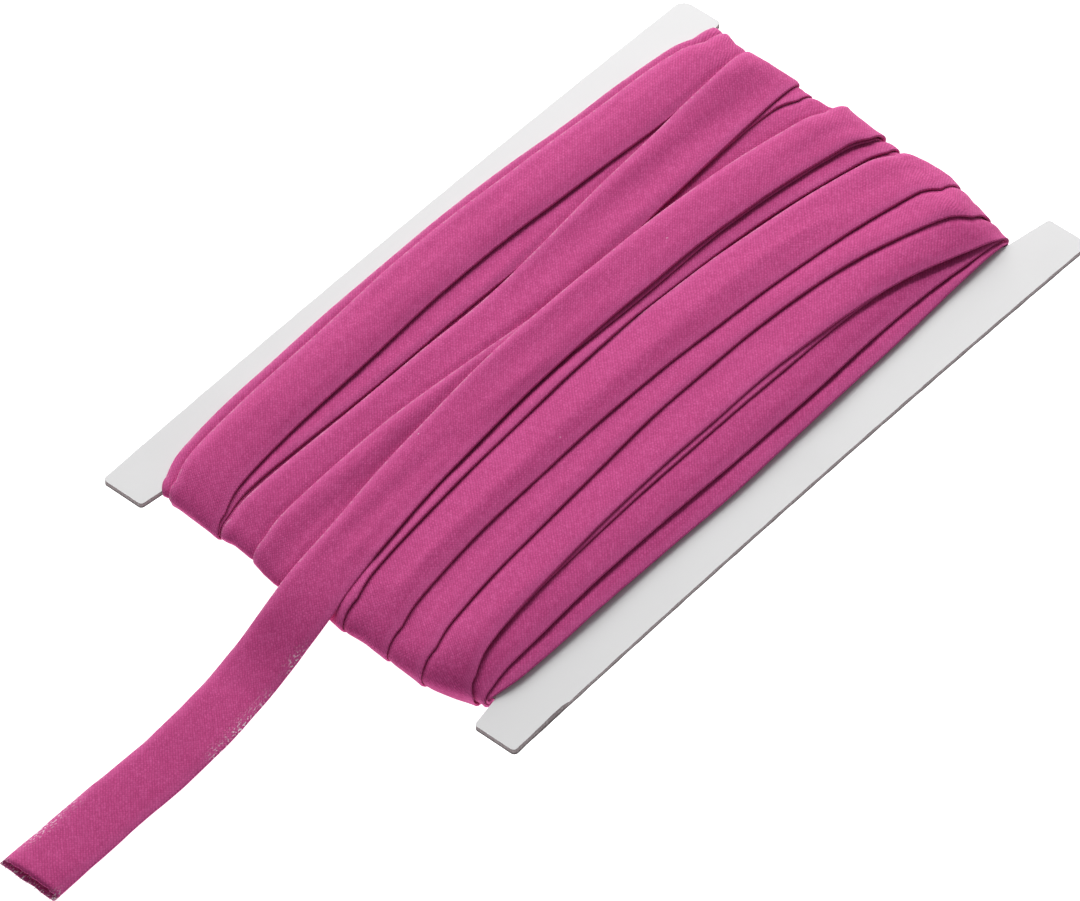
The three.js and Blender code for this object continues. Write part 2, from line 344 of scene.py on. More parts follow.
@dataclass(frozen=True)
class CottonFinish:
    """Plain-weave cotton cut on the bias, its threads at 45 degrees to the tape."""

    colour: Colour = (0.615, 0.058, 0.262, 1.0)
    shade: Colour = (0.41, 0.030, 0.163, 1.0)
    worn: Colour = (0.76, 0.135, 0.40, 1.0)
    # Pale colour of lint specks and frayed threads, also used for painted highlights and glints.
    lint_and_highlight: Colour = (0.95, 0.80, 0.89, 1.0)
    sheen_tint: Colour = (1.0, 0.72, 0.86, 1.0)
    roughness: float = 0.82
    gloss: float = 0.25
    sheen: float = 0.14
    sheen_roughness: float = 0.45
    pitch: float = 0.4945 * MM
    fold_at: float = 6.35 * MM
    wander: Grain = Grain(420.0, 2.0)
    wander_threads: float = 1.1
    proud_thread: tuple[float, float] = (0.45, 0.55)
    low_thread: tuple[float, float] = (0.35, 0.35)
    # Painted shade in the weave's hollows.
    hollow_shade: Tone = Tone(0.85, 0.2, 0.8)
    crossings: Shading = Shading(Tone(0.5, 0.0, 0.25), Tone(0.5, 1.0, 0.20))
    yarn_size: tuple[float, float] = (0.42 * MM, 2.6 * MM)
    yarn: Grain = Grain(1.0, 1.0)
    warp_shading: Shading = Shading(Tone(0.5, 0.28, 0.28), Tone(0.5, 0.76, 0.18))
    weft_shading: Shading = Shading(Tone(0.5, 0.28, 0.14), Tone(0.5, 0.76, 0.10))
    fuzz: Grain = Grain(3100.0, 2.0)
    fuzz_shading: Shading = Shading(Tone(0.5, 0.28, 0.36), Tone(0.5, 0.76, 0.28))
    mottle: Grain = Grain(70.0, 4.0)
    mottle_shading: Shading = Shading(Tone(0.5, 0.28, 0.16), Tone(0.5, 0.76, 0.07))
    fold_wear: Tone = Tone(2.1 * MM, 0.6 * MM, 0.26)
    # Painted highlight along the fold on the lit +Y side.
    fold_highlight: Tone = Tone(0.6 * MM, 0.1 * MM, 0.16)
    patches: Grain = Grain(900.0, 3.0)
    patch: Tone = Tone(0.35, 0.7)
    fleck_scale: Place = (1500.0, 3000.0, 1.0)
    flecks: Grain = Grain(1.0, 2.0)
    fleck: Tone = Tone(0.54, 0.62)
    specks: Grain = Grain(640.0, 1.0)
    speck: Tone = Tone(0.81, 0.85, 0.45)
    creases: Grain = Grain(150.0, 3.0)
    crease_relief: Relief = Relief(0.35, 0.6 * MM)
    weave_relief: Relief = Relief(0.5, 0.14 * MM)

    def material(self) -> bpy.types.Material:
        """Build the finish on the tape's own UV map, in metres along and across.

        Returns:
            The material.
        """
        g = NodeGraph("cotton_tape")
        uv = g.node("UVMap", uv_map="tape").outputs[0]
        along, across = g.node("SeparateXYZ", {0: uv}).outputs[:2]
        threads = (g.times(g.math("ADD", along, across), math.sqrt(0.5)),
                   g.times(g.math("SUBTRACT", across, along), math.sqrt(0.5)))
        wander = g.math("MULTIPLY_ADD", g.noise(uv, self.wander), self.wander_threads,
                        -self.wander_threads / 2)
        phases = [g.math("MULTIPLY_ADD", place, 1.0 / self.pitch, wander) for place in threads]
        cells = [g.math("FLOOR", phase) for phase in phases]
        height = self._weave(g, phases, cells)
        # Painted shade: darker where the weave lies low, in the hollows between the threads.
        base = g.tint(self.colour, self.shade, height, self.hollow_shade)
        base = self._yarns(g, base, threads, cells, uv)
        base = self._wear_and_glints(g, base, across, uv)
        soft = g.bump(g.noise(uv, self.creases), self.crease_relief)
        return g.dressed({
            "Base Color": base, "Roughness": self.roughness, "Specular IOR Level": self.gloss,
            "Sheen Weight": self.sheen, "Sheen Roughness": self.sheen_roughness,
            "Sheen Tint": self.sheen_tint, "Normal": g.bump(height, self.weave_relief, soft)})

    def _weave(self, g: NodeGraph, phases: Sequence[Socket], cells: Sequence[Socket]) -> Socket:
        """Height of a plain weave, the warp threads standing proud of the weft.

        Args:
            g: The material's node tree.
            phases: Warp and weft threads passed, with the share of the next.
            cells: Whole warp and weft threads passed.

        Returns:
            The height, from 0 to about 1.
        """
        over = g.math("MODULO", g.math("ABSOLUTE", g.math("ADD", *cells)), 2.0)
        warp, weft = (g.math("ABSOLUTE", g.math("SINE", g.times(phase, math.pi))) for phase in phases)
        proud, low = (g.times(warp, g.math("MULTIPLY_ADD", weft, *heights))
                      for heights in (self.proud_thread, self.low_thread))
        return g.math("ADD", g.times(proud, over), g.times(low, g.math("SUBTRACT", 1.0, over)))

    def _yarns(self, g: NodeGraph, base: Socket, threads: Sequence[Socket], cells: Sequence[Socket],
               uv: Socket) -> Socket:
        """Shade of each crossing, unevenness of the yarns, a fine fuzz and a slow mottling.

        Args:
            g: The material's node tree.
            base: Colour so far.
            threads: Place across the warp threads and across the weft threads.
            cells: Whole warp and weft threads passed.
            uv: Place on the cloth.

        Returns:
            The colour.
        """
        crossing = g.node("CombineXYZ", dict(enumerate(cells))).outputs[0]
        own = g.node("TexWhiteNoise", {"Vector": crossing}, noise_dimensions="2D").outputs["Value"]
        for value, shading in (
                (own, self.crossings),
                (g.noise(g.plane(threads, self.yarn_size), self.yarn), self.warp_shading),
                (g.noise(g.plane(threads, self.yarn_size[::-1]), self.yarn), self.weft_shading),
                (g.noise(uv, self.fuzz), self.fuzz_shading),
                (g.noise(uv, self.mottle), self.mottle_shading)):
            base = g.tint(base, self.shade, value, shading.dark)
            base = g.tint(base, self.worn, value, shading.light)
        return base

    def _wear_and_glints(self, g: NodeGraph, base: Socket, across: Socket, uv: Socket) -> Socket:
        """Paler band along both folds, a painted highlight along the lit fold, white flecks where the mesh
        attribute says (painted glints of threads catching light, and frayed threads at the cut), stray lint
        specks.

        Args:
            g: The material's node tree.
            base: Colour so far.
            across: Place across the tape.
            uv: Place on the cloth.

        Returns:
            The colour.
        """
        from_fold = g.math("ABSOLUTE", g.math("SUBTRACT", g.math("ABSOLUTE", across), self.fold_at))
        base = g.tint(base, self.worn, from_fold, self.fold_wear)
        # Painted highlight: a thin pale line along the fold on the lit +Y side, broken into patches.
        from_lit_fold = g.math("ABSOLUTE", g.math("SUBTRACT", across, self.fold_at))
        patchy = g.ramp(g.noise(uv, self.patches), self.patch)
        painted_fold_highlight = g.times(g.ramp(from_lit_fold, self.fold_highlight), patchy)
        base = g.mix(g.times(painted_fold_highlight, self.fold_highlight.share), base, self.lint_and_highlight)
        # White flecks: painted glints of threads catching light at the loose end's folds, and pale frayed
        # threads at its cut.
        glint_and_fray = g.attribute("glint_and_fray")
        fleck = g.ramp(g.noise(g.stretched(uv, self.fleck_scale), self.flecks), self.fleck)
        base = g.mix(g.times(fleck, glint_and_fray), base, self.lint_and_highlight)
        return g.tint(base, self.lint_and_highlight, g.noise(uv, self.specks), self.speck)


@dataclass(frozen=True)
class BoardFinish:
    """White-faced grey board: smooth coated faces and a layered pulp core at the cut edges, with painted
    shade along the lower part of each cut edge.
    """

    face: Colour = (0.79, 0.792, 0.798, 1.0)
    soil: Colour = (0.745, 0.745, 0.75, 1.0)
    pulp: Colour = (0.25, 0.205, 0.212, 1.0)
    # Dark pulp, also painted as shade along the bottom of the cut edges.
    dark_pulp_and_shade: Colour = (0.11, 0.09, 0.093, 1.0)
    roughness: float = 0.62
    core_roughness: float = 0.3
    gloss: float = 0.35
    clouds: Grain = Grain(38.0, 5.0)
    cloudy: Tone = Tone(0.45, 0.75, 0.45)
    cloud_relief: Relief = Relief(0.12, 0.8 * MM)
    fibre_scale: Place = (900.0, 2600.0, 900.0)
    fibres: Grain = Grain(1.0, 3.0)
    fibrous: Tone = Tone(0.62, 0.8, 0.22)
    fibre_relief: Relief = Relief(0.10, 0.1 * MM)
    grit: Grain = Grain(2600.0, 2.0)
    gritty: Tone = Tone(0.5, 0.75, 0.3)
    ply_waves: Grain = Grain(420.0, 2.0)
    ply_wander: float = 0.24
    shaded_lower_plies: Tone = Tone(0.36, 0.56)
    top_ply: Tone = Tone(0.98, 1.08, 0.6)
    core_relief: Relief = Relief(0.5, 0.2 * MM)

    def material(self) -> bpy.types.Material:
        """Build the finish on Object coordinates and the card's core and level attributes.

        Returns:
            The material.
        """
        g = NodeGraph("white_faced_board")
        at = g.node("TexCoord").outputs["Object"]
        core, level = g.attribute("core"), g.attribute("level")
        cloud = g.noise(at, self.clouds)
        fibre = g.noise(g.stretched(at, self.fibre_scale), self.fibres)
        face = g.tint(self.face, self.soil, cloud, self.cloudy)
        face = g.tint(face, self.soil, fibre, self.fibrous)
        grit = g.noise(at, self.grit)
        plies = g.math("ADD", level, g.times(g.noise(at, self.ply_waves), self.ply_wander))
        # Painted shade: the lower part of each cut edge takes the dark pulp colour.
        pulp = g.mix(g.ramp(plies, self.shaded_lower_plies), self.dark_pulp_and_shade, self.pulp)
        pulp = g.tint(pulp, self.dark_pulp_and_shade, plies, self.top_ply)
        pulp = g.tint(pulp, self.face, grit, self.gritty)
        fine = g.bump(fibre, self.fibre_relief, g.bump(cloud, self.cloud_relief))
        rough = g.times(g.math("ADD", plies, grit), core)
        return g.dressed({
            "Base Color": g.mix(core, face, pulp), "Specular IOR Level": self.gloss,
            "Roughness": g.math("MULTIPLY_ADD", core, self.core_roughness, self.roughness),
            "Normal": g.bump(rough, self.core_relief, fine)})


@dataclass(frozen=True)
class ThreadFinish:
    """Loose cotton fibres at the cut end, paler than the cloth."""

    colour: Colour = (0.88, 0.60, 0.74, 1.0)
    tip: Colour = (0.95, 0.90, 0.92, 1.0)
    roughness: float = 0.9
    patches: Grain = Grain(1500.0, 1.0)
    patch: Tone = Tone(0.35, 0.65)

    def material(self) -> bpy.types.Material:
        """Build the finish on Object coordinates.

        Returns:
            The material.
        """
        g = NodeGraph("frayed_cotton")
        at = g.node("TexCoord").outputs["Object"]
        share = g.ramp(g.noise(at, self.patches), self.patch)
        return g.dressed({"Base Color": g.mix(share, self.colour, self.tip), "Roughness": self.roughness})


@dataclass(frozen=True)
class FloorFinish:
    """Plain white studio surface, lit a little from within so that it stays white."""

    colour: Colour = (0.5, 0.5, 0.5, 1.0)
    light: Colour = (1.0, 1.0, 1.0, 1.0)
    roughness: float = 0.95
    gloss: float = 0.1
    glow: float = 1.15

    def material(self) -> bpy.types.Material:
        """Build the finish.

        Returns:
            The material.
        """
        return NodeGraph("studio_floor").dressed({
            "Base Color": self.colour, "Roughness": self.roughness, "Specular IOR Level": self.gloss,
            "Emission Color": self.light, "Emission Strength": self.glow})


# ---------------------------------------------------------------- the card


class Corner(Enum):
    """Kinds of corner on the card's outline."""

    FAR = "far"
    NEAR = "near"
    NOTCH = "notch"


@dataclass
class NotchedCard:
    """Flat die-cut card, a little bowed, with a notch in each short end."""

    length: float = 165 * MM
    width: float = 100 * MM
    thickness: float = 1.2 * MM
    bow: float = 1.6 * MM
    notch_depth: float = 7.5 * MM
    mouth_half: float = 40.4 * MM
    floor_half: float = 39.3 * MM
    slant_start: float = -14 * MM
    slant_full: float = -28 * MM
    slant_depth: float = 4.4 * MM
    trim_start: float = 64 * MM
    trim_inset: float = 1.6 * MM
    trim_back: float = 1.2 * MM
    far_corner: float = 2.4 * MM
    near_corner: float = 0.9 * MM
    notch_corner: float = 0.7 * MM
    corner_segments: int = 6
    edge_round: float = 0.09 * MM
    edge_segments: int = 2
    edge_turn: float = 0.5
    face_slope: float = 0.8
    slice_pitch: float = 1.5 * MM
    slices_across: tuple[float, ...] = (-0.46, -0.25, 0.0, 0.25, 0.46)
    edge_band: float = 2 * MM
    edge_wear: Wave = Wave(0.035 * MM, 9 * MM, 5)
    edge_offset: float = 0.3
    nick_x: float = -67.8 * MM
    nick: float = 0.35 * MM
    nick_cut: float = 0.15 * MM
    nick_wall: tuple[float, float] = (0.1 * MM, 0.2 * MM)
    nick_fade: tuple[float, float] = (22 * MM, 2 * MM)
    finish: BoardFinish = field(default_factory=BoardFinish)

    def __post_init__(self) -> None:
        """Take the card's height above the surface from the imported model."""
        low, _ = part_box("card")
        self.under = low[2]

    @property
    def notch_x(self) -> float:
        """Distance of the notch floors from the middle."""
        return self.length / 2 - self.notch_depth

    def bow_at(self, x: Array) -> Array:
        """Rise of the card over its ends."""
        return self.bow * (1.0 - (np.asarray(x) / (self.length / 2)) ** 2)

    def top_at(self, x: Array) -> Array:
        """Height of the upper face above the surface."""
        return self.under + self.thickness + self.bow_at(x)

    def slant_at(self, y: Array) -> Array:
        """How much deeper the far notch is cut towards one side."""
        run = self.slant_start - self.slant_full
        return self.slant_depth * np.clip((self.slant_start - np.asarray(y)) / run, 0.0, 1.0)

    def build(self) -> bpy.types.Object:
        """Model, bow and dress the card.

        Returns:
            The finished piece.
        """
        bpy.ops.object.select_all(action="DESELECT")
        bpy.ops.mesh.primitive_plane_add(size=1.0, location=(0, 0, 0))
        piece = bpy.context.object
        piece.name = "notched_card"
        piece.data.name = "notched_card"
        piece.scale = (self.length, self.width, 1.0)
        bpy.ops.object.transform_apply(location=False, rotation=False, scale=True)
        bpy.ops.object.mode_set(mode="EDIT")
        for end in (-1, 1):
            self._cut_notch(piece.data, end)
        self._trim_lug(piece.data)
        bpy.ops.mesh.select_all(action="SELECT")
        bpy.ops.mesh.dissolve_limited(angle_limit=math.radians(1))
        self._round_corners(piece.data)
        self._thicken(piece.data)
        self._slice()
        self._shape(piece.data)
        bpy.ops.object.mode_set(mode="OBJECT")
        self._mark_core(piece.data)
        piece.data.materials.append(self.finish.material())
        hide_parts("card")
        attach(piece, "root")
        return piece

    def _bisect(self, point: Place, normal: Place) -> None:
        """Cut the whole mesh along a plane."""
        bpy.ops.mesh.select_all(action="SELECT")
        bpy.ops.mesh.bisect(plane_co=point, plane_no=normal)

    def _remove(self, data: bpy.types.Mesh, inside: Callable[[Vector], bool]) -> None:
        """Delete the faces whose middle passes a test.

        Args:
            data: The card's mesh, in edit mode.
            inside: The test.
        """
        mesh = bmesh.from_edit_mesh(data)
        for face in mesh.faces:
            face.select = inside(face.calc_center_median())
        bmesh.update_edit_mesh(data)
        bpy.ops.mesh.delete(type="FACE")

    def _cut_notch(self, data: bpy.types.Mesh, end: int) -> None:
        """Cut one notch: its two flaring sides and its floor, then remove what they enclose.

        Args:
            data: The card's mesh, in edit mode.
            end: 1 for the far notch, -1 for the near one.
        """
        slope = (self.mouth_half - self.floor_half) / self.notch_depth
        for side in (-1, 1):
            self._bisect((end * self.notch_x, side * self.floor_half, 0), (-end * slope, side, 0))
        self._bisect((end * self.notch_x, 0, 0), (1, 0, 0))
        if end > 0:
            run = self.slant_start - self.slant_full
            self._bisect((self.notch_x, self.slant_start, 0), (run, -self.slant_depth, 0))
            self._bisect((self.notch_x - self.slant_depth, 0, 0), (1, 0, 0))

        self._remove(data, lambda at: abs(at.y) < self.floor_half + slope * (end * at.x - self.notch_x)
                     and end * at.x > self.notch_x - (self.slant_at(at.y) if end > 0 else 0.0))

    def _trim_lug(self, data: bpy.types.Mesh) -> None:
        """Cut the one lug that narrows towards its end.

        Args:
            data: The card's mesh, in edit mode.
        """
        corner, side = self.length / 2 - self.trim_back, -self.width / 2
        run = corner - self.trim_start
        lug = self.width / 2 - self.mouth_half
        self._bisect((self.trim_start, side, 0), (self.trim_inset, -run, 0))
        self._remove(data, lambda at: at.x > self.trim_start
                     and at.y < side + (at.x - self.trim_start) / run * self.trim_inset)
        self._bisect((corner, side, 0), (lug, -self.trim_back, 0))
        self._remove(data, lambda at: at.y < -self.floor_half
                     and at.x > corner + (at.y - side) * self.trim_back / lug)

    def _corner_kind(self, at: Vector) -> Corner:
        """Kind of the outline's corner at a place.

        Args:
            at: The corner.

        Returns:
            Whether it is in a notch, or outside at the near or the far end.
        """
        if abs(at.y) <= (self.width / 2 + self.mouth_half) / 2:
            return Corner.NOTCH
        return Corner.NEAR if at.x < 0 else Corner.FAR

    def _round_corners(self, data: bpy.types.Mesh) -> None:
        """Round the outline's corners: most at the far end, less at the near end and in the notches.

        Args:
            data: The card's mesh, in edit mode.
        """
        for kind, radius in ((Corner.FAR, self.far_corner), (Corner.NEAR, self.near_corner),
                             (Corner.NOTCH, self.notch_corner)):
            mesh = bmesh.from_edit_mesh(data)
            for vertex in mesh.verts:
                is_corner = vertex.is_boundary and len(vertex.link_edges) == 2
                vertex.select = is_corner and self._corner_kind(vertex.co) is kind
            mesh.select_flush_mode()
            bmesh.update_edit_mesh(data)
            bpy.ops.mesh.bevel(affect="VERTICES", offset=radius, segments=self.corner_segments,
                               clamp_overlap=True)

    def _thicken(self, data: bpy.types.Mesh) -> None:
        """Give the outline the board's thickness, and take the sharpness off its edges.

        Args:
            data: The card's mesh, in edit mode.
        """
        bpy.ops.mesh.select_all(action="SELECT")
        bpy.ops.mesh.normals_make_consistent(inside=False)
        bpy.ops.mesh.extrude_region_move(TRANSFORM_OT_translate={"value": (0, 0, self.thickness)})
        bpy.ops.mesh.select_all(action="SELECT")
        bpy.ops.mesh.normals_make_consistent(inside=False)
        mesh = bmesh.from_edit_mesh(data)
        for edge in mesh.edges:
            faces = edge.link_faces
            turn = abs(faces[0].normal.z - faces[1].normal.z) if len(faces) == 2 else 0.0
            edge.select = turn > self.edge_turn
        bmesh.update_edit_mesh(data)
        bpy.ops.mesh.bevel(affect="EDGES", offset=self.edge_round, segments=self.edge_segments,
                           clamp_overlap=True)

    def _slice(self) -> None:
        """Slice the card across and along, so that it can bow and its edges can be uneven."""
        count = int(self.length / self.slice_pitch)
        for i in range(1, count):
            self._bisect((-self.length / 2 + i * self.length / count, 0, 0), (1, 0, 0))
        for share in self.slices_across:
            self._bisect((0, share * self.width, 0), (0, 1, 0))
        for shift in (-self.nick_cut, self.nick_cut):
            self._bisect((self.nick_x + shift, 0, 0), (1, 0, 0))

    def _shape(self, data: bpy.types.Mesh) -> None:
        """Bow the card, wear its long cut edges a little and peel one of them at the nick.

        Args:
            data: The card's mesh, in edit mode.
        """
        mesh = bmesh.from_edit_mesh(data)
        for vertex in mesh.verts:
            x, y, z = vertex.co
            if abs(y) > self.width / 2 - self.edge_band:
                side = 1 if y > 0 else -1
                level = 0.0 if z < self.thickness / 2 else 1.0
                place = np.array([x + self.edge_offset * level])
                uneven = self.edge_wear.shape(place, side)[0]
                vertex.co.y -= side * (self.edge_wear.height * (1.0 + uneven))
                if side < 0 and level > 0:
                    wall, fade = (smoothstep(x, *(self.nick_x - step for step in steps))
                                  for steps in (self.nick_wall, self.nick_fade))
                    vertex.co.y += float(wall * fade) * self.nick
            vertex.co.z = self.under + z + float(self.bow_at(x))
        bmesh.update_edit_mesh(data)

    def _mark_core(self, mesh: bpy.types.Mesh) -> None:
        """Mark the cut edges, where the pulp core shows, and each point's level in the board.

        Args:
            mesh: The card's mesh.
        """
        upright = [float(abs(face.normal.z) <= self.face_slope) for face in mesh.polygons]
        mesh.attributes.new("core", "FLOAT", "FACE").data.foreach_set("value", upright)
        levels = [(vertex.co.z - self.under - float(self.bow_at(vertex.co.x))) / self.thickness
                  for vertex in mesh.vertices]
        mesh.attributes.new("level", "FLOAT", "POINT").data.foreach_set("value", levels)
        mesh.polygons.foreach_set("use_smooth", np.zeros(len(mesh.polygons), bool))


# ---------------------------------------------------------------- the laps


class Part(Enum):
    """Stretch of the loop that a station lies on."""

    FAR = 0
    ABOVE = 1
    NEAR = 2
    BELOW = 3


CROSSINGS = (-79.0, -69.0, -40.0, 0.0, 40.0, 70.0, 77.0)


@dataclass(frozen=True)
class Lap:
    """Centre line of one lap over the card, with its width, in mm.

    The centres run from the far bend over the upper face to the near bend, one for each
    of the seven crossings, last crossing first. The last value is how far the fold on the
    -Y side stands off what lies under it.
    """

    centre: tuple[float, float, float, float, float, float, float]
    width: float
    stand_off: float = 0.06

    @property
    def far(self) -> float:
        """Where the lap crosses the far bend."""
        return self.centre[0]

    @property
    def near(self) -> float:
        """Where the lap crosses the near bend."""
        return self.centre[-1]

    def above(self, x: Array) -> Array:
        """Centre line over the upper face, in metres."""
        return curve_through(np.array(CROSSINGS) * MM, np.array(self.centre[::-1]) * MM, x)


LAPS: tuple[Lap, ...] = (
    Lap((-20.0, -18.5, -15.5, -14.0, -14.5, -15.5, -17.0), 12.7),
    Lap((-14.0, -12.0, -9.0, -8.0, -9.0, -10.0, -12.0), 12.7),
    Lap((-8.0, -5.5, -3.0, -2.0, -3.0, -4.5, -6.0), 12.7),
    Lap((-23.0, -25.0, -27.1, -29.0, -29.5, -29.8, -31.0), 12.7),
    Lap((-32.4, -32.4, -33.4, -34.9, -34.3, -33.9, -31.9), 12.7, 0.4),
    Lap((-31.2, -31.0, -30.0, -30.7, -30.1, -30.9, -32.0), 12.7, 0.2),
    Lap((-26.0, -27.6, -24.1, -23.1, -23.6, -25.2, -28.4), 12.6),
    Lap((-31.7, -30.2, -24.0, -21.8, -23.0, -25.8, -29.7), 12.8),
    Lap((-26.3, -22.0, -14.4, -12.4, -14.4, -17.1, -19.8), 12.7, 0.15),
    Lap((-16.5, -12.9, -8.2, -5.9, -6.1, -8.6, -11.2), 13.3, 0.1),
    Lap((-1.6, 0.7, 5.3, 6.5, 4.4, 1.8, -1.0), 12.6, 0.2),
    Lap((7.7, 10.8, 11.8, 12.0, 9.8, 7.0, 4.5), 12.7),
    Lap((20.4, 22.8, 22.4, 21.5, 21.2, 21.0, 19.2), 12.7),
    Lap((34.0, 36.2, 37.9, 39.5, 38.8, 36.9, 33.0), 12.7),
    Lap((29.0, 30.5, 31.3, 31.8, 32.5, 33.2, 31.2), 12.8, 0.15),
    Lap((31.2, 34.3, 36.2, 37.8, 36.6, 34.5, 30.7), 12.2, 0.15),
    Lap((24.4, 23.9, 21.8, 18.8, 19.1, 19.7, 17.9), 12.8, 0.12),
    Lap((2.1, 4.6, 8.1, 8.6, 12.3, 12.2, 10.2), 11.4, 0.1),
    Lap((1.9, 4.5, 8.1, 8.6, 6.5, 2.8, 1.0), 11.3, 0.3),
)


@dataclass
class Loop:
    """The inner loop round the card that the tape is wound on, as stations in winding order.

    The two reach tables give, at places across the card in mm, how far out the stack
    reaches from a notch floor at the far and at the near bend.
    """

    card: NotchedCard
    seat: float = 0.14 * MM
    above_pitch: float = 1.9 * MM
    below_pitch: float = 3.9 * MM
    crowding: tuple[float, float] = (1.14, 0.14)
    bend_steps: int = 14
    slant_from: float = 50 * MM
    far_shoulder: float = 5 * MM
    near_shoulder: float = 9 * MM
    clearance: float = 0.03 * MM
    level_blur: int = 31
    least_level: float = 0.1 * MM
    least_draw: float = 0.5
    least_fall: float = 0.05
    far_reach: tuple[tuple[float, float], ...] = (
        (-40, 1.6), (-37.6, 2.2), (-34.7, 3.4), (-31.8, 4.0), (-28.9, 4.9), (-26, 5.1), (-23, 5.3),
        (-20, 5.3), (-17, 4.8), (-14, 3.9), (-11, 3.6), (-8, 2.7), (-5, 3.15), (-2, 3.4), (1, 4.2),
        (4, 4.5), (7, 5.3), (10, 3.2), (13, 3.4), (16, 3.3), (19, 4.6), (22, 4.65), (34, 4.4), (37, 5.6),
        (42, 5.6))
    near_reach: tuple[tuple[float, float], ...] = (
        (-41, 1.0), (-38, 1.8), (-35.3, 2.9), (-32.2, 4.1), (-29.2, 5.0), (-26.1, 5.6), (-17.1, 5.6),
        (-14.1, 5.4), (-11.1, 5.2), (-8.1, 5.7), (-2.1, 5.1), (5, 5.4), (9.5, 5.6), (12.5, 5.0),
        (15.5, 4.05), (18.4, 3.5), (21.4, 3.2), (24.4, 3.9), (33.4, 3.3), (39, 2.9), (42, 1.6))

    def __post_init__(self) -> None:
        """Lay the stations: far bend, upper face, near bend, underside."""
        self.slack: dict[Part, Array] = {}
        self.draw_in: dict[Part, Array] = {}
        card, end = self.card, self.card.notch_x
        middle = float(card.top_at(end)) - card.thickness / 2
        self.underside = middle - card.thickness / 2 - self.seat
        radius = self.radius = card.thickness / 2 + self.seat
        turns = np.linspace(0.0, math.pi, self.bend_steps + 1)[1:-1]
        even = np.linspace(1, -1, int(2 * end / self.above_pitch))
        above = end * (self.crowding[0] * even - self.crowding[1] * even**3)
        below = np.linspace(-end, end, int(2 * end / self.below_pitch))
        steep = 2 * card.bow * above / (card.length / 2) ** 2
        size = np.hypot(steep, 1.0)
        out, up = np.sin(turns), -np.cos(turns)
        ends, flat = np.full(turns.shape, end), np.ones_like(below)
        rows = [
            (Part.FAR, ends, end + radius * out, middle + radius * up, out, up),
            (Part.ABOVE, above, above, card.top_at(above) + self.seat, steep / size, 1.0 / size),
            (Part.NEAR, -ends, -end - radius * out, middle - radius * up, -out, -up),
            (Part.BELOW, below, below, flat * self.underside, 0 * flat, -flat),
        ]
        self.part = np.concatenate([[row[0].value] * len(row[1]) for row in rows])
        self.x, self.px, self.pz, self.nx, self.nz = (
            np.concatenate([row[i] for row in rows]) for i in range(1, 6))

    def on(self, part: Part) -> Array:
        """Mask of the stations on one stretch."""
        return self.part == part.value

    def fit(self, places: Array, height: Array, most: Array) -> None:
        """Fit the bends to how far out they reach, and keep what is below the card off the surface.

        Args:
            places: Positions across the card.
            height: Height of the whole stack there, one row per station.
            most: Height of the outermost lap at each station.
        """
        self.places = places
        kernel = np.hanning(self.level_blur) / np.hanning(self.level_blur).sum()
        for part, table in ((Part.FAR, self.far_reach), (Part.NEAR, self.near_reach)):
            rows = np.nonzero(self.on(part))[0]
            level = np.convolve(height[rows[len(rows) // 2]], kernel, "same")
            reach = np.interp(places, *(np.array(table).T * MM)) - self.radius
            self.slack[part] = np.maximum(reach - level, 0.0)
            share = np.minimum(reach / np.maximum(level, self.least_level), 1.0)
            share = np.where(level > self.least_level, share, 1.0)
            self.draw_in[part] = np.clip(share, self.least_draw, 1.0)
        room = (self.pz - self.clearance) / np.maximum(-self.nz, self.least_fall)
        self.press = np.where(self.nz < 0, np.minimum(1.0, room / most), 1.0)

    def place(self, rows: Array, y: Array, height: Array) -> Array:
        """Points over the loop.

        Args:
            rows: Station numbers, one for each row of y.
            y: Position across the card.
            height: Distance out from the loop.

        Returns:
            Points, with x, y and z on the last axis.
        """
        part, nominal, px, pz, nx, upright, press = (values[rows][:, None] for values in (
            self.part, self.x, self.px, self.pz, self.nx, self.nz, self.press))
        end, sideways = self.card.notch_x, np.abs(nx)
        above = part == Part.ABOVE.value
        bent = (part == Part.FAR.value) | (part == Part.NEAR.value)
        far = np.where(above, nominal > 0, part == Part.FAR.value)
        # The far notch is deeper on one side, so the loop draws back there.
        back = np.clip((nominal - self.slant_from) / (end - self.slant_from), 0, 1) * self.card.slant_at(y)
        lift = self.card.bow_at(nominal - back) - self.card.bow_at(nominal)
        lift = lift * (part != Part.BELOW.value)
        # The stack rolls over a shoulder of this radius before it turns down at a bend.
        shoulder = np.where(far, self.far_shoulder, self.near_shoulder)
        drawn, loose = (np.where(far, *(np.interp(y, self.places, table[bend])
                                        for bend in (Part.FAR, Part.NEAR)))
                        for table in (self.draw_in, self.slack))
        out = height * drawn + loose
        arm = shoulder + out
        start = np.arcsin(shoulder / arm)
        lean = start + (math.pi / 2 - start) * np.arctan2(sideways, upright) * 2 / math.pi
        rounded = np.arcsin(np.clip((np.abs(nominal) - end + shoulder) / arm, 0.0, 1.0))
        upper = bent & (upright > 0)
        reach = np.where(upper, arm * np.sin(lean) - shoulder, out * sideways * bent)
        rise = np.where(upper, height * np.cos(lean), height * upright * press)
        rise = np.where(above, height * upright * np.cos(rounded), rise)
        x = px + np.sign(nx) * reach - back + nx * height * above
        return np.stack([x, y, pz + rise + lift], axis=-1)


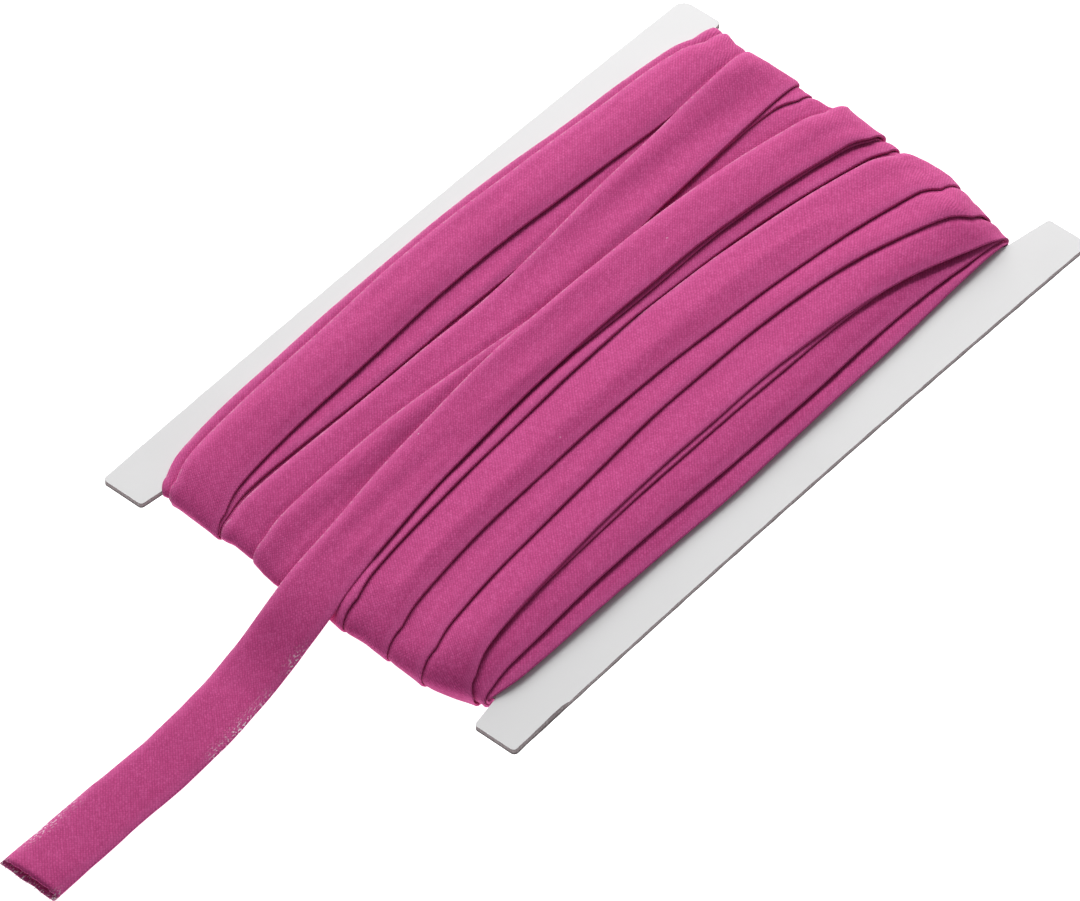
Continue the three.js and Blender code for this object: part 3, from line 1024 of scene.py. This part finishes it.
@dataclass
class Stack:
    """Height of the laps laid so far, on a grid of stations by places across the card."""

    stations: int
    low: float = -48 * MM
    high: float = 52 * MM
    step: float = 0.2 * MM
    last_cell: float = 1.001

    def __post_init__(self) -> None:
        """Start with nothing laid."""
        self.places = np.arange(self.low, self.high, self.step)
        self.height = np.zeros((self.stations, len(self.places)))

    def under(self, rows: Array, y: Array) -> Array:
        """Height of what is already laid, below each point of a lap."""
        at = np.clip((y - self.low) / self.step, 0, len(self.places) - self.last_cell)
        return read_rows(self.height, rows, at)

    def lay(self, rows: Array, y: Array, top: Array) -> None:
        """Record a lap's upper face.

        Args:
            rows: Station numbers.
            y: Positions across the card, rising, one row per station.
            top: Height of the upper face there.
        """
        for row, across, level in zip(rows, y, top):
            first = int(np.ceil((across[0] - self.low) / self.step))
            last = int(np.floor((across[-1] - self.low) / self.step)) + 1
            self.height[row, first:last] = np.interp(self.places[first:last], across, level)


# ---------------------------------------------------------------- the tape


@dataclass
class FoldedTape:
    """Section of the folded cloth: an upper layer, two folds and two flaps that nearly meet."""

    cloth: float = 0.23 * MM
    depth: float = 0.60 * MM
    crown: float = 0.10 * MM
    press: float = 0.12 * MM
    press_power: int = 10
    puff: float = 0.30 * MM
    puff_power: int = 5
    cut_width: float = 25.4 * MM
    nominal_half: float = 6.35 * MM
    raw_gap: float = 0.5 * MM
    share_count: int = 33
    upper_points: int = 19
    flap_points: int = 5
    fold_points: int = 5
    last_share: float = 0.9999

    def thickness(self, share: Array) -> Array:
        """Depth of the folded tape at a share of its half width, from -1 to 1."""
        return self.depth + self.crown * (1.0 - share**2) - self.press * np.abs(share) ** self.press_power

    @property
    def shares(self) -> Array:
        """Places across the lap at which its height is worked out."""
        return np.linspace(-1.0, 1.0, self.share_count)

    @property
    def swelling(self) -> Array:
        """Rise of the outer face where it is free, rolling off towards both folds."""
        return self.puff * (1.0 - np.abs(self.shares) ** self.puff_power)

    @property
    def fold_place(self) -> float:
        """Distance of each fold from the cloth's middle line."""
        return self.cut_width / 4

    def middle_path(self, half: Array, under: Array, top: Array, gap: Array) -> tuple[Array, Array]:
        """Middle surface of the cloth round the section, from raw edge to raw edge.

        Args:
            half: Half width of the folded tape, one for each station.
            under: Height of the lower face at each of the shares.
            top: Height of the upper face at each of the shares.
            gap: Half the space between the raw edges, one for each station.

        Returns:
            Position across and height, one row for each station.
        """
        inset = self.cloth / 2
        radius = self.depth / 2 - inset
        reach = half[:, None] - inset - radius
        flap = np.linspace(0.0, 1.0, self.flap_points)
        right = -(gap[:, None] + (reach - gap[:, None]) * flap)
        left = -right[:, ::-1]
        turn = np.linspace(0.0, math.pi, self.fold_points + 2)[1:-1]
        upper = reach * np.linspace(-1.0, 1.0, self.upper_points)
        sideways = np.concatenate([right, -reach - radius * np.sin(turn), upper,
                                   reach + radius * np.sin(turn), left], axis=1)
        low = self._read(under, right, half) + inset
        high = self._read(top, upper, half) - inset
        far_low = self._read(under, left, half) + inset
        rise = (1 - np.cos(turn)) / 2
        first = low[:, -1:] + (high[:, :1] - low[:, -1:]) * rise
        second = high[:, -1:] + (far_low[:, :1] - high[:, -1:]) * rise
        return sideways, np.concatenate([low, first, high, second, far_low], axis=1)

    def _read(self, values: Array, across: Array, half: Array) -> Array:
        """Read a lap's height at places across it."""
        at = np.clip((across / half[:, None] + 1) / 2, 0, self.last_share) * (values.shape[1] - 1)
        return read_rows(values, np.arange(len(values)), at)

    def skins(self, across: Array, height: Array) -> tuple[Array, Array]:
        """Outer and inner skin of the cloth as one closed ring of points per station.

        Args:
            across: Position across of the cloth's middle surface.
            height: Its height.

        Returns:
            Position across and height of the ring's points.
        """
        step_a = np.gradient(across, axis=1)
        step_h = np.gradient(height, axis=1)
        size = np.hypot(step_a, step_h)
        out_a, out_h = step_h / size * self.cloth / 2, -step_a / size * self.cloth / 2
        ring_a = np.concatenate([across - out_a, (across + out_a)[:, ::-1]], axis=1)
        ring_h = np.concatenate([height - out_h, (height + out_h)[:, ::-1]], axis=1)
        return ring_a, ring_h

    def flat_places(self) -> Array:
        """Distance from the cloth's middle line to each point of the section's middle path.

        Returns:
            The distances, from one raw edge to the other.
        """
        shares = self.shares[None, :]
        across, height = self.middle_path(np.array([self.nominal_half]), np.zeros_like(shares),
                                          self.thickness(shares), np.array([self.raw_gap / 2]))
        run = run_after(np.hypot(np.diff(across[0]), np.diff(height[0])))
        return (run / run[-1] - 0.5) * self.cut_width


@dataclass(frozen=True)
class TailPoint:
    """One place on the loose end: its x, y, height of the lower face and width, in mm."""

    x: float
    y: float
    under: float
    width: float


TAIL: tuple[TailPoint, ...] = (
    TailPoint(-76.0, 2.0, 6.2, 11.9),
    TailPoint(-79.0, 1.5, 5.8, 12.2),
    TailPoint(-82.5, 1.0, 5.1, 12.3),
    TailPoint(-86.5, 0.6, 3.9, 12.3),
    TailPoint(-91.0, 0.4, 2.2, 12.2),
    TailPoint(-96.0, 0.1, 0.8, 12.1),
    TailPoint(-101.5, -0.5, 0.06, 12.1),
    TailPoint(-108.0, -1.4, 0.04, 12.2),
    TailPoint(-118.0, -2.2, 0.04, 12.3),
    TailPoint(-130.0, -2.3, 0.04, 12.5),
    TailPoint(-144.0, -2.3, 0.04, 12.8),
    TailPoint(-158.0, -2.4, 0.04, 13.1),
)


@dataclass
class LooseEnd:
    """Loose end of the tape, from the last lap down to the surface and along it to its cut."""

    section: FoldedTape
    pitch: float = 1.15 * MM
    free_by: float = 100 * MM
    sway: Wave = Wave(0.07 * MM, 26 * MM, 41)
    spread: Wave = Wave(0.04 * MM, 15 * MM, 42)
    lift: Wave = Wave(0.05 * MM, 31 * MM, 43)
    settle: float = 15 * MM
    opening: float = 0.5 * MM
    opening_run: float = 16 * MM
    opening_power: float = 0.7
    gap_closed: float = 0.85
    gap_run: tuple[float, float] = (25 * MM, 8 * MM)
    lip: float = 0.75 * MM
    lip_run: float = 6 * MM
    cut: Wave = Wave(0.12 * MM, 2.2 * MM, 44)

    def rings(self, held: Array, uneven: Array) -> Array:
        """Closed rings of points that carry on from the last one on the card.

        Args:
            held: Two stations of the last lap: x, y, height of the lower face, half width.
            uneven: Height of the last lap's lower face over its mean, at the section's shares.

        Returns:
            The rings, down to the cut end.
        """
        section, shares = self.section, self.section.shares
        points = np.array([(p.x, p.y, p.under, p.width / 2) for p in TAIL]) * MM
        x, *across_up_half = np.concatenate([held, points]).T
        begin, stop = -x[1], -x[-1]
        start = begin + self.pitch
        run = np.linspace(start, stop, int((stop - start) / self.pitch))
        y, z, half = (curve_through(-x, values, run) for values in across_up_half)
        free = smoothstep(run, begin, self.free_by)
        y = y + self.sway.height * free * self.sway.shape(run)
        half = half + self.spread.height * free * self.spread.shape(run)
        z = z + self.lift.height * free * (1.0 + self.lift.shape(run))
        slope = np.gradient(z, run)
        size = np.hypot(slope, 1.0)
        under = uneven * (1.0 - smoothstep(run, begin, begin + self.settle))[:, None]
        opened = smoothstep(run, stop - self.opening_run, stop)[:, None]
        top = under + section.thickness(shares) + section.swelling
        top = top + self.opening * opened * (1.0 - shares**2) ** self.opening_power
        closed = smoothstep(run, *(stop - step for step in self.gap_run))
        gap = section.raw_gap / 2 * (1.0 - self.gap_closed * closed)
        across, height = section.skins(*section.middle_path(half, under, top, gap))
        across = y[:, None] + across
        forward = -run[:, None] + height * (slope / size)[:, None]
        upper = np.abs(section.flat_places()) < section.fold_place
        lower = np.concatenate([~upper, ~upper[::-1]])
        forward = forward - self.lip * smoothstep(run, stop - self.lip_run, stop)[:, None] * lower
        forward[-1] += self.cut.height * self.cut.shape(across[-1])
        return np.stack([forward, across, z[:, None] + height * (1.0 / size)[:, None]], axis=-1)


@dataclass
class FrayedEnd:
    """Short loose threads along the cut end, most of them on the two flaps below.

    Lengths and thicknesses are in mm, and a thread leans from the tape's run by the angle
    of its set, give or take the spread.
    """

    section: FoldedTape
    finish: ThreadFinish = field(default_factory=ThreadFinish)
    count: int = 190
    seed: int = 7
    sides: int = 5
    steps: int = 5
    upper_every: int = 7
    lower_length: float = 1.05
    upper_length: float = 0.5
    shortest: float = 0.3
    thickness: tuple[float, float] = (0.045, 0.085)
    taper: float = 0.45
    sets: tuple[float, float] = (-45.0, 45.0)
    spread: float = 22.0
    rooted: float = 0.25 * MM
    climb: tuple[float, float] = (-0.3, 0.35)
    curl: float = 0.5
    droop: float = 0.12
    lowest: float = 0.06 * MM
    last_cell: float = 1.001

    def build(self, ring: Array) -> bpy.types.Object:
        """Model the threads.

        Args:
            ring: The last ring of the tape.

        Returns:
            The piece, all threads in one mesh.
        """
        rng = np.random.default_rng(self.seed)
        half = len(ring) // 2
        middle = (ring[:half] + ring[::-1][:half]) / 2
        lower = np.nonzero(np.abs(self.section.flat_places()) > self.section.fold_place)[0]
        last = half - self.last_cell
        points = []
        for number in range(self.count):
            is_lower = number % self.upper_every > 0
            at = rng.uniform(0, last)
            if is_lower:
                at = min(lower[rng.integers(len(lower))] + rng.uniform(0, 0.9), last)
            root = middle[int(at)] + (middle[int(at) + 1] - middle[int(at)]) * (at % 1)
            lean = math.radians(rng.choice(self.sets) + rng.uniform(-self.spread, self.spread))
            most = self.lower_length if is_lower else self.upper_length
            path = self._strand(rng, root, lean, rng.uniform(self.shortest, 1.0) ** 2 * most * MM)
            size = rng.uniform(*self.thickness) * MM * np.linspace(1.0, self.taper, self.steps)
            points.append(self._tube(path, size, lean))
        return self._dress(np.concatenate(points))

    def _strand(self, rng: np.random.Generator, root: Array, lean: float, length: float) -> Array:
        """Middle line of one thread.

        Args:
            rng: Source of its random draws.
            root: Where it leaves the cloth.
            lean: Its angle to the tape's run.
            length: Its length.

        Returns:
            Points along it.
        """
        path, heading = [root + np.array([self.rooted, 0, 0])], lean
        climb = rng.uniform(*self.climb)
        curl = rng.uniform(-self.curl, self.curl)
        for _ in range(self.steps - 1):
            step = np.array([-math.cos(heading), math.sin(heading), climb]) * length / (self.steps - 1)
            path.append(path[-1] + step)
            heading += curl
            climb -= self.droop
        path = np.array(path)
        path[:, 2] = np.maximum(path[:, 2], self.lowest)
        return path

    def _tube(self, path: Array, size: Array, lean: float) -> Array:
        """Points round one thread.

        Args:
            path: Its middle line.
            size: Its half thickness at each point of the line.
            lean: Its angle to the tape's run.

        Returns:
            The points, one turn of them for each point of the line.
        """
        turn = np.linspace(0, 2 * math.pi, self.sides, endpoint=False)[:, None]
        side, up = np.array([-math.sin(lean), math.cos(lean), 0.0]), np.array([0.0, 0.0, 1.0])
        around = np.cos(turn) * side + np.sin(turn) * up
        return (path[:, None] + size[:, None, None] * around).reshape(-1, 3)

    def _dress(self, points: Array) -> bpy.types.Object:
        """Skin the threads, close their ends and dress them.

        Args:
            points: Points of all the threads.

        Returns:
            The piece.
        """
        sides, rim, rows = self.sides, np.arange(self.sides), np.arange(self.steps - 1)[:, None]
        first, second = rows * sides + rim, rows * sides + (rim + 1) % sides
        walls = np.stack([first, second, second + sides, first + sides], -1).reshape(-1, 4)
        starts = np.arange(0, len(points), sides * self.steps)[:, None]
        faces = (starts[:, None] + walls).reshape(-1, 4).tolist()
        faces += (starts + rim[::-1]).tolist() + (starts + sides * (self.steps - 1) + rim).tolist()
        mesh = smooth_mesh("frayed_threads", points, faces)
        built = bmesh.new()
        built.from_mesh(mesh)
        bmesh.ops.recalc_face_normals(built, faces=built.faces)
        built.to_mesh(mesh)
        built.free()
        piece = link_object("frayed_threads", mesh)
        piece.data.materials.append(self.finish.material())
        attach(piece, "root")
        return piece


@dataclass(frozen=True)
class TapeRun:
    """One piece of the strip: its laps, from the first up to the last, and the nodes it stands for."""

    name: str
    first: int
    last: int
    nodes: tuple[str, ...]


@dataclass(frozen=True)
class GlintSpot:
    """Stretch of one fold of the loose end with painted glints of threads catching light: its x and half
    length in mm, side and share.
    """

    x: float
    reach: float
    side: int
    share: float


GLINT_SPOTS: tuple[GlintSpot, ...] = (
    GlintSpot(-91.0, 2.6, -1, 0.8),
    GlintSpot(-101.0, 2.5, -1, 0.5),
    GlintSpot(-108.0, 4.2, -1, 1.0),
    GlintSpot(-115.0, 2.0, -1, 0.6),
    GlintSpot(-140.0, 2.0, 1, 0.4),
    GlintSpot(-148.0, 5.0, 1, 1.0),
    GlintSpot(-157.5, 1.5, -1, 0.4),
)


@dataclass
class BiasTape:
    """The whole strip: its laps round the card and its loose end.

    Lap 0 is the tape's start under the card, and lap n is row n of the laps' table.
    """

    card: NotchedCard
    section: FoldedTape = field(default_factory=FoldedTape)
    finish: CottonFinish = field(default_factory=CottonFinish)
    climb: float = 0.24
    settle_passes: int = 26
    sag_full: float = 45 * MM
    sag_none: float = 74 * MM
    calm_from: float = 60 * MM
    bend_join: float = -0.1
    drift: Wave = Wave(0.14 * MM, 70 * MM, 20)
    stand_off: Wave = Wave(0.35, 60 * MM, 60)
    stand_off_from: float = -0.1
    lie: Wave = Wave(0.035 * MM, 17.0, 90)
    raw_edge: Wave = Wave(0.5, 9.0, 300)
    pinch: float = 1.2 * MM
    open_slope: tuple[float, float] = (-0.6, 0.5)
    tail_cover: float = 0.3
    lead_in: float = 20 * MM
    tail_from: float = -67 * MM
    tail_hold: int = 9
    inner_laps: int = 6
    middle_laps: int = 12
    # Spread across each fold of the loose end's painted glints.
    fold_highlight: float = 1.3 * MM
    cut_wear: float = 0.75
    cut_wear_x: tuple[float, float] = (-156.6, -158.3)
    cut_wear_from: float = 0.85

    def __post_init__(self) -> None:
        """Lay every lap over the ones before it, above the card and then from the surface up."""
        self.loop = Loop(self.card)
        self.rows = np.arange(len(self.loop.x))
        self.stack = Stack(len(self.rows))
        self.last = len(LAPS)
        self.centres: list[Array] = []
        self.unders: list[Array] = []
        self.halves: list[Array] = []
        for number in range(self.last + 1):
            self.centres.append(self._centre(number))
            self.halves.append(np.full(len(self.rows), self._lap(number).width / 2 * MM))
            y = self._across(number)
            under = self._drape(self.stack.under(self.rows, y), self.halves[number])
            under += self.lie.height * (1.0 + self.lie.shape(self.rows * 1.0, number))[:, None]
            self.unders.append(under)
            laid = self._laid(number)
            self.stack.lay(self.rows[laid], y[laid], self._top(number)[laid])
        self._rest_on_surface()
        self.free = self._exposed()
        outer = [np.where(self._laid(number), self._top(number).max(axis=1), 0.0)
                 for number in range(self.last + 1)]
        self.loop.fit(self.stack.places, self.stack.height, np.max(outer, axis=0))

    def _lap(self, number: int) -> Lap:
        """The table's row for a lap. The tape's start takes the first."""
        return LAPS[max(number - 1, 0)]

    def _across(self, number: int) -> Array:
        """Places across the card of a lap's shares."""
        return self.centres[number][:, None] + self.halves[number][:, None] * self.section.shares

    def _top(self, number: int) -> Array:
        """Height of a lap's upper face at its shares."""
        return self.unders[number] + self.section.thickness(self.section.shares)

    def _exposed(self) -> list[Array]:
        """How freely each lap's outer face can swell.

        Returns:
            For each lap, 1 in the open and 0 under other laps.
        """
        loop, stack = self.loop, self.stack
        covered = np.zeros_like(stack.height)
        kernel = np.ones(int(self.pinch / stack.step) | 1)
        open_side = smoothstep(loop.nz, *self.open_slope)[:, None]
        free: list[Array] = [np.zeros(0)] * (self.last + 1)
        for number in reversed(range(self.last + 1)):
            near = blur_rows(covered, kernel) > 0.5
            near[1:] |= near[:-1].copy()
            near[:-1] |= near[1:].copy()
            soft = blur_rows(blur_rows(near * 1.0, kernel / kernel.sum()), np.ones(3) / 3)
            y = self._across(number)
            at = np.clip((y - stack.low) / stack.step, 0, len(stack.places) - 1).astype(int)
            free[number] = (1.0 - soft[self.rows[:, None], at]) * open_side
            laid = self._laid(number)
            if number == self.last:
                laid = laid | loop.on(Part.ABOVE) | (loop.on(Part.NEAR) & (loop.nz > self.tail_cover))
            for row in self.rows[laid]:
                first = int((y[row, 0] - stack.low) / stack.step)
                last = int((y[row, -1] - stack.low) / stack.step) + 2
                covered[row, first:last] = 1.0
        return free

    def _stand_off(self, number: int) -> Array:
        """Rise of a lap's free fold on the -Y side off what lies under it.

        Args:
            number: The lap.

        Returns:
            The rise at its shares, one row per station.
        """
        uneven = 1.0 + self.stand_off.height * self.stand_off.shape(self.loop.x, number)
        lift = self._lap(number).stand_off * MM * uneven
        rising = smoothstep(-self.section.shares, self.stand_off_from, 1.0)
        return lift[:, None] * rising * self.free[number]

    def _laid(self, number: int) -> Array:
        """Mask of the stations that a lap covers.

        Args:
            number: The lap.

        Returns:
            True where it lies.
        """
        loop = self.loop
        if number == 0:
            return loop.on(Part.BELOW) & (loop.x > self.lead_in)
        if number == self.last:
            return loop.on(Part.FAR) | (loop.on(Part.ABOVE) & (loop.x > self.tail_from))
        return np.ones(len(self.rows), bool)

    def _centre(self, number: int) -> Array:
        """Centre line of a lap. Under the card it leads to the next lap.

        Args:
            number: The lap.

        Returns:
            Its place across the card at every station.
        """
        lap, follower, loop = self._lap(number), self._lap(min(number + 1, self.last)), self.loop
        reach = self.card.notch_x
        below = lap.near + (follower.far - lap.near) * smoothstep(loop.x, -reach, reach)
        centre = np.where(loop.on(Part.ABOVE), lap.above(loop.x), below * MM)
        for part, value, side in ((Part.FAR, lap.far * MM, 1), (Part.NEAR, lap.near * MM, -1)):
            turned = loop.nz[loop.on(part)] - self.bend_join
            ease = np.clip(turned / (1.0 - self.bend_join), 0.0, 1.0)
            joined = float(lap.above(np.array([side * reach]))[0])
            centre[loop.on(part)] = value + (joined - value) * ease**2
        calm = 1.0 - smoothstep(np.abs(loop.x), self.calm_from, reach)
        return centre + self.drift.height * calm * self.drift.shape(loop.x, number)

    def _drape(self, ground: Array, half: Array) -> Array:
        """Lower face of a lap that lies over an uneven ground.

        Args:
            ground: Height of the ground at each share of the lap, one row per station.
            half: Half width of the lap at each station.

        Returns:
            Height of the lap's lower face.
        """
        cover = ground.copy()
        count = cover.shape[1]
        drop = self.climb * (2 * half / (count - 1))
        for i in range(1, count):
            cover[:, i] = np.maximum(cover[:, i], cover[:, i - 1] - drop)
        for i in range(count - 2, -1, -1):
            cover[:, i] = np.maximum(cover[:, i], cover[:, i + 1] - drop)
        for _ in range(self.settle_passes):
            wide = np.pad(cover, 1, mode="edge")
            along = (wide[:-2, 1:-1] + 2 * wide[1:-1, 1:-1] + wide[2:, 1:-1]) / 4
            wide = np.pad(along, 1, mode="edge")
            across = (wide[1:-1, :-2] + 2 * wide[1:-1, 1:-1] + wide[1:-1, 2:]) / 4
            cover = np.maximum(across, ground)
        return cover

    def _rest_on_surface(self) -> None:
        """Let the laps under the card lie on the surface between the bends."""
        loop = self.loop
        below = self.rows[loop.on(Part.BELOW)]
        ground = Stack(len(self.rows))
        share = 1.0 - smoothstep(np.abs(loop.x[below]), self.sag_full, self.sag_none)
        for number in reversed(range(self.last)):
            y, laid = self._across(number)[below], self._laid(number)[below]
            lowest = self._drape(ground.under(below, y), self.halves[number][below])
            upper = lowest + self.section.thickness(self.section.shares)
            ground.lay(below[laid], y[laid], upper[laid])
            hanging = self.unders[number][below]
            self.unders[number][below] = hanging + (loop.underside - upper - hanging) * share[:, None]

    def _lap_rings(self, number: int) -> Array:
        """Closed ring of points at every station that a lap covers.

        Args:
            number: The lap.

        Returns:
            The rings.
        """
        laid, section = self._laid(number), self.section
        rows, half = self.rows[laid], self.halves[number][laid]
        under = (self.unders[number] + self._stand_off(number))[laid]
        top = under + section.thickness(section.shares) + (section.swelling * self.free[number])[laid]
        gap = section.raw_gap / 2 * (1.0 + self.raw_edge.height * self.raw_edge.shape(rows * 1.0, number))
        across, height = section.skins(*section.middle_path(half, under, top, gap))
        return self.loop.place(rows, self.centres[number][laid][:, None] + across, height)

    def _tail_rings(self) -> Array:
        """Rings of the loose end, which carries on from the last lap.

        Returns:
            The rings, down to the cut end.
        """
        last = self._laid(self.last).nonzero()[0]
        ends = last[[-self.tail_hold, -1]]
        under, centre = self.unders[self.last][ends], self.centres[self.last][ends]
        lines = self.loop.place(ends, centre[:, None] + 0 * self.section.shares, under)
        held = [lines[:, 0, 0], centre, lines[:, :, 2].mean(axis=1), self.halves[self.last][ends]]
        return LooseEnd(self.section).rings(np.stack(held, axis=1), under[1] - under[1].mean())

    def build(self) -> list[bpy.types.Object]:
        """Returns:
            The pieces.
        """
        rings = [self._lap_rings(number) for number in range(self.last + 1)]
        rings.append(self._tail_rings())
        cotton = self.finish.material()
        inner, middle, wound = self.inner_laps + 1, self.middle_laps + 1, ("winding",)
        pieces, start, joint = [], 0.0, rings[0][:0]
        for part in (TapeRun("wound_tape_inner", 0, inner, wound),
                     TapeRun("wound_tape_middle", inner, middle, wound),
                     TapeRun("wound_tape_outer", middle, self.last, wound),
                     TapeRun("loose_tape", self.last, self.last + 2, ("winding", "loose_end"))):
            name, nodes = part.name, part.nodes
            joined = np.concatenate([joint, *rings[part.first:part.last]])
            joint = joined[-1:]
            piece, length = self._skin(name, joined, start)
            start += length
            piece.data.materials.append(cotton)
            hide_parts(*nodes)
            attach(piece, "root")
            pieces.append(piece)
            LOG.info("%s: %.0f mm of tape", name, length / MM)
            loose = name == "loose_tape"
            fray = [FrayedEnd(self.section).build(joined[-1])] if loose else []
            pieces.extend(fray)
        return pieces

    def _skin(self, name: str, rings: Array, start: float) -> tuple[bpy.types.Object, float]:
        """Skin a run of rings.

        Args:
            name: The piece's name.
            rings: Points of each station's closed ring.
            start: Length of tape before the first ring.

        Returns:
            The new piece, with its UV map and its attribute of painted glints and fraying, and its length
            of tape.
        """
        stations, count = rings.shape[:2]
        rows, around = np.arange(stations - 1)[:, None] * count, np.arange(count)
        corner, after = rows + around, rows + (around + 1) % count
        faces = np.stack([corner, after, after + count, corner + count], axis=-1).reshape(-1, 4)
        near = np.arange(count // 2 - 1)
        cap = np.stack([near, count - 1 - near, count - 2 - near, near + 1], axis=-1)
        faces = np.concatenate([faces, cap, cap[:, ::-1] + (stations - 1) * count])
        points = rings.reshape(-1, 3)
        if self._volume(points, faces) < 0:
            faces = faces[:, ::-1]
        piece = link_object(name, smooth_mesh(name, points, faces.tolist()))
        run = run_after(np.linalg.norm(np.diff(rings[:, count // 4], axis=0), axis=1))
        flat = self.section.flat_places()
        across = np.tile(np.concatenate([flat, flat[::-1]]), stations)
        along = np.repeat(run + start, count)
        vertex = np.empty(len(piece.data.loops), dtype=np.int32)
        piece.data.loops.foreach_get("vertex_index", vertex)
        layer = piece.data.uv_layers.new(name="tape")
        layer.data.foreach_set("uv", np.stack([along[vertex], across[vertex]], axis=-1).ravel())
        # Share of painted glints at the loose end's folds and of pale frayed threads at its cut.
        glint_and_fray = piece.data.attributes.new("glint_and_fray", "FLOAT", "POINT")
        glint_and_fray.data.foreach_set("value", self._wear_and_glints(points, across).astype(np.float32))
        return piece, float(run[-1])

    def _wear_and_glints(self, points: Array, across: Array) -> Array:
        """Where the folds of the loose end carry painted glints of threads catching light, and where its
        cut edge is frayed pale.

        Args:
            points: Points of the tape.
            across: Distance of each from the cloth's middle line.

        Returns:
            The share of painted glints and of fraying at each point.
        """
        x, fold_place = points[:, 0] / MM, self.section.fold_place
        fold = np.exp(-((np.abs(across) - fold_place) / self.fold_highlight) ** 2)
        total = np.zeros(len(points))
        # Painted glints: stretches of the loose end's folds where threads catch light.
        for spot in GLINT_SPOTS:
            total += spot.share * np.exp(-((x - spot.x) / spot.reach) ** 2) * (np.sign(across) == spot.side)
        at_flaps = np.abs(across) > self.cut_wear_from * fold_place
        # Pale frayed threads along the flaps at the cut.
        cut = self.cut_wear * smoothstep(x, *self.cut_wear_x) * at_flaps
        return np.maximum(np.clip(total, 0, 1) * fold, cut)

    @staticmethod
    def _volume(points: Array, faces: Array) -> float:
        """Signed volume, times six, of a closed mesh of four-sided faces."""
        a, b, c, d = (points[faces[:, i]] for i in range(4))
        return float(np.einsum("ij,ij->", a, np.cross(b, c)) + np.einsum("ij,ij->", a, np.cross(c, d)))


# ---------------------------------------------------------------- studio


@dataclass
class Studio:
    """Plain white surface, soft light and the camera."""

    floor_size: float = 6.0
    azimuth: float = math.radians(-49.21)
    elevation: float = math.radians(47.79)
    target: Place = (-24.74 * MM, -6.07 * MM, 4.32 * MM)
    distance: float = 1525.2 * MM
    lens: float = 276.47
    sensor: float = 36.0
    key_place: Place = (0.86, 1.06, 0.86)
    key_size: float = 1.5
    key_power: float = 43.0
    key_colour: Place = (1.0, 0.99, 0.98)
    sky_colour: Colour = (0.97, 0.98, 1.0, 1.0)
    sky_strength: float = 0.24
    finish: FloorFinish = field(default_factory=FloorFinish)

    def build(self) -> None:
        """Make the floor, the camera, the light and the sky."""
        self._floor()
        self._camera()
        self._key_light()
        self._sky()

    def _floor(self) -> None:
        """Plain surface that the roll lies on."""
        bpy.ops.object.select_all(action="DESELECT")
        bpy.ops.mesh.primitive_plane_add(size=self.floor_size, location=(0, 0, 0))
        floor = bpy.context.object
        floor.name = "studio_floor"
        floor.data.materials.append(self.finish.material())

    def _camera(self) -> None:
        """Camera at its place, turned to the target."""
        level = math.cos(self.elevation)
        heading = Vector((-math.sin(self.azimuth) * level, math.cos(self.azimuth) * level,
                          -math.sin(self.elevation)))
        data = bpy.data.cameras.new("camera")
        data.lens = self.lens
        data.sensor_width = self.sensor
        data.sensor_fit = "HORIZONTAL"
        camera = link_object("camera", data)
        camera.location = Vector(self.target) - heading * self.distance
        camera.rotation_euler = (math.pi / 2 - self.elevation, 0.0, self.azimuth)
        bpy.context.scene.camera = camera

    def _key_light(self) -> None:
        """Square soft light, turned to the roll."""
        data = bpy.data.lights.new("key", "AREA")
        data.shape = "SQUARE"
        data.size = self.key_size
        data.energy = self.key_power
        data.color = self.key_colour
        light = link_object("key", data)
        light.location = self.key_place
        light.rotation_euler = (-Vector(self.key_place)).to_track_quat("-Z", "Y").to_euler()

    def _sky(self) -> None:
        """Even light from all round."""
        world = bpy.data.worlds.new("studio")
        world.use_nodes = True
        background = world.node_tree.nodes["Background"]
        background.inputs["Color"].default_value = self.sky_colour
        background.inputs["Strength"].default_value = self.sky_strength
        bpy.context.scene.world = world
        bpy.context.scene.view_settings.view_transform = "Standard"


def main() -> None:
    """Build the studio, the card and the tape, and report each piece."""
    logging.basicConfig(level=logging.INFO, format="%(name)s %(message)s")
    Studio().build()
    card = NotchedCard()
    pieces = [card.build(), *BiasTape(card).build()]
    for piece in pieces:
        LOG.info("%s: %d faces", piece.name, len(piece.data.polygons))


if __name__ == "__main__":
    main()
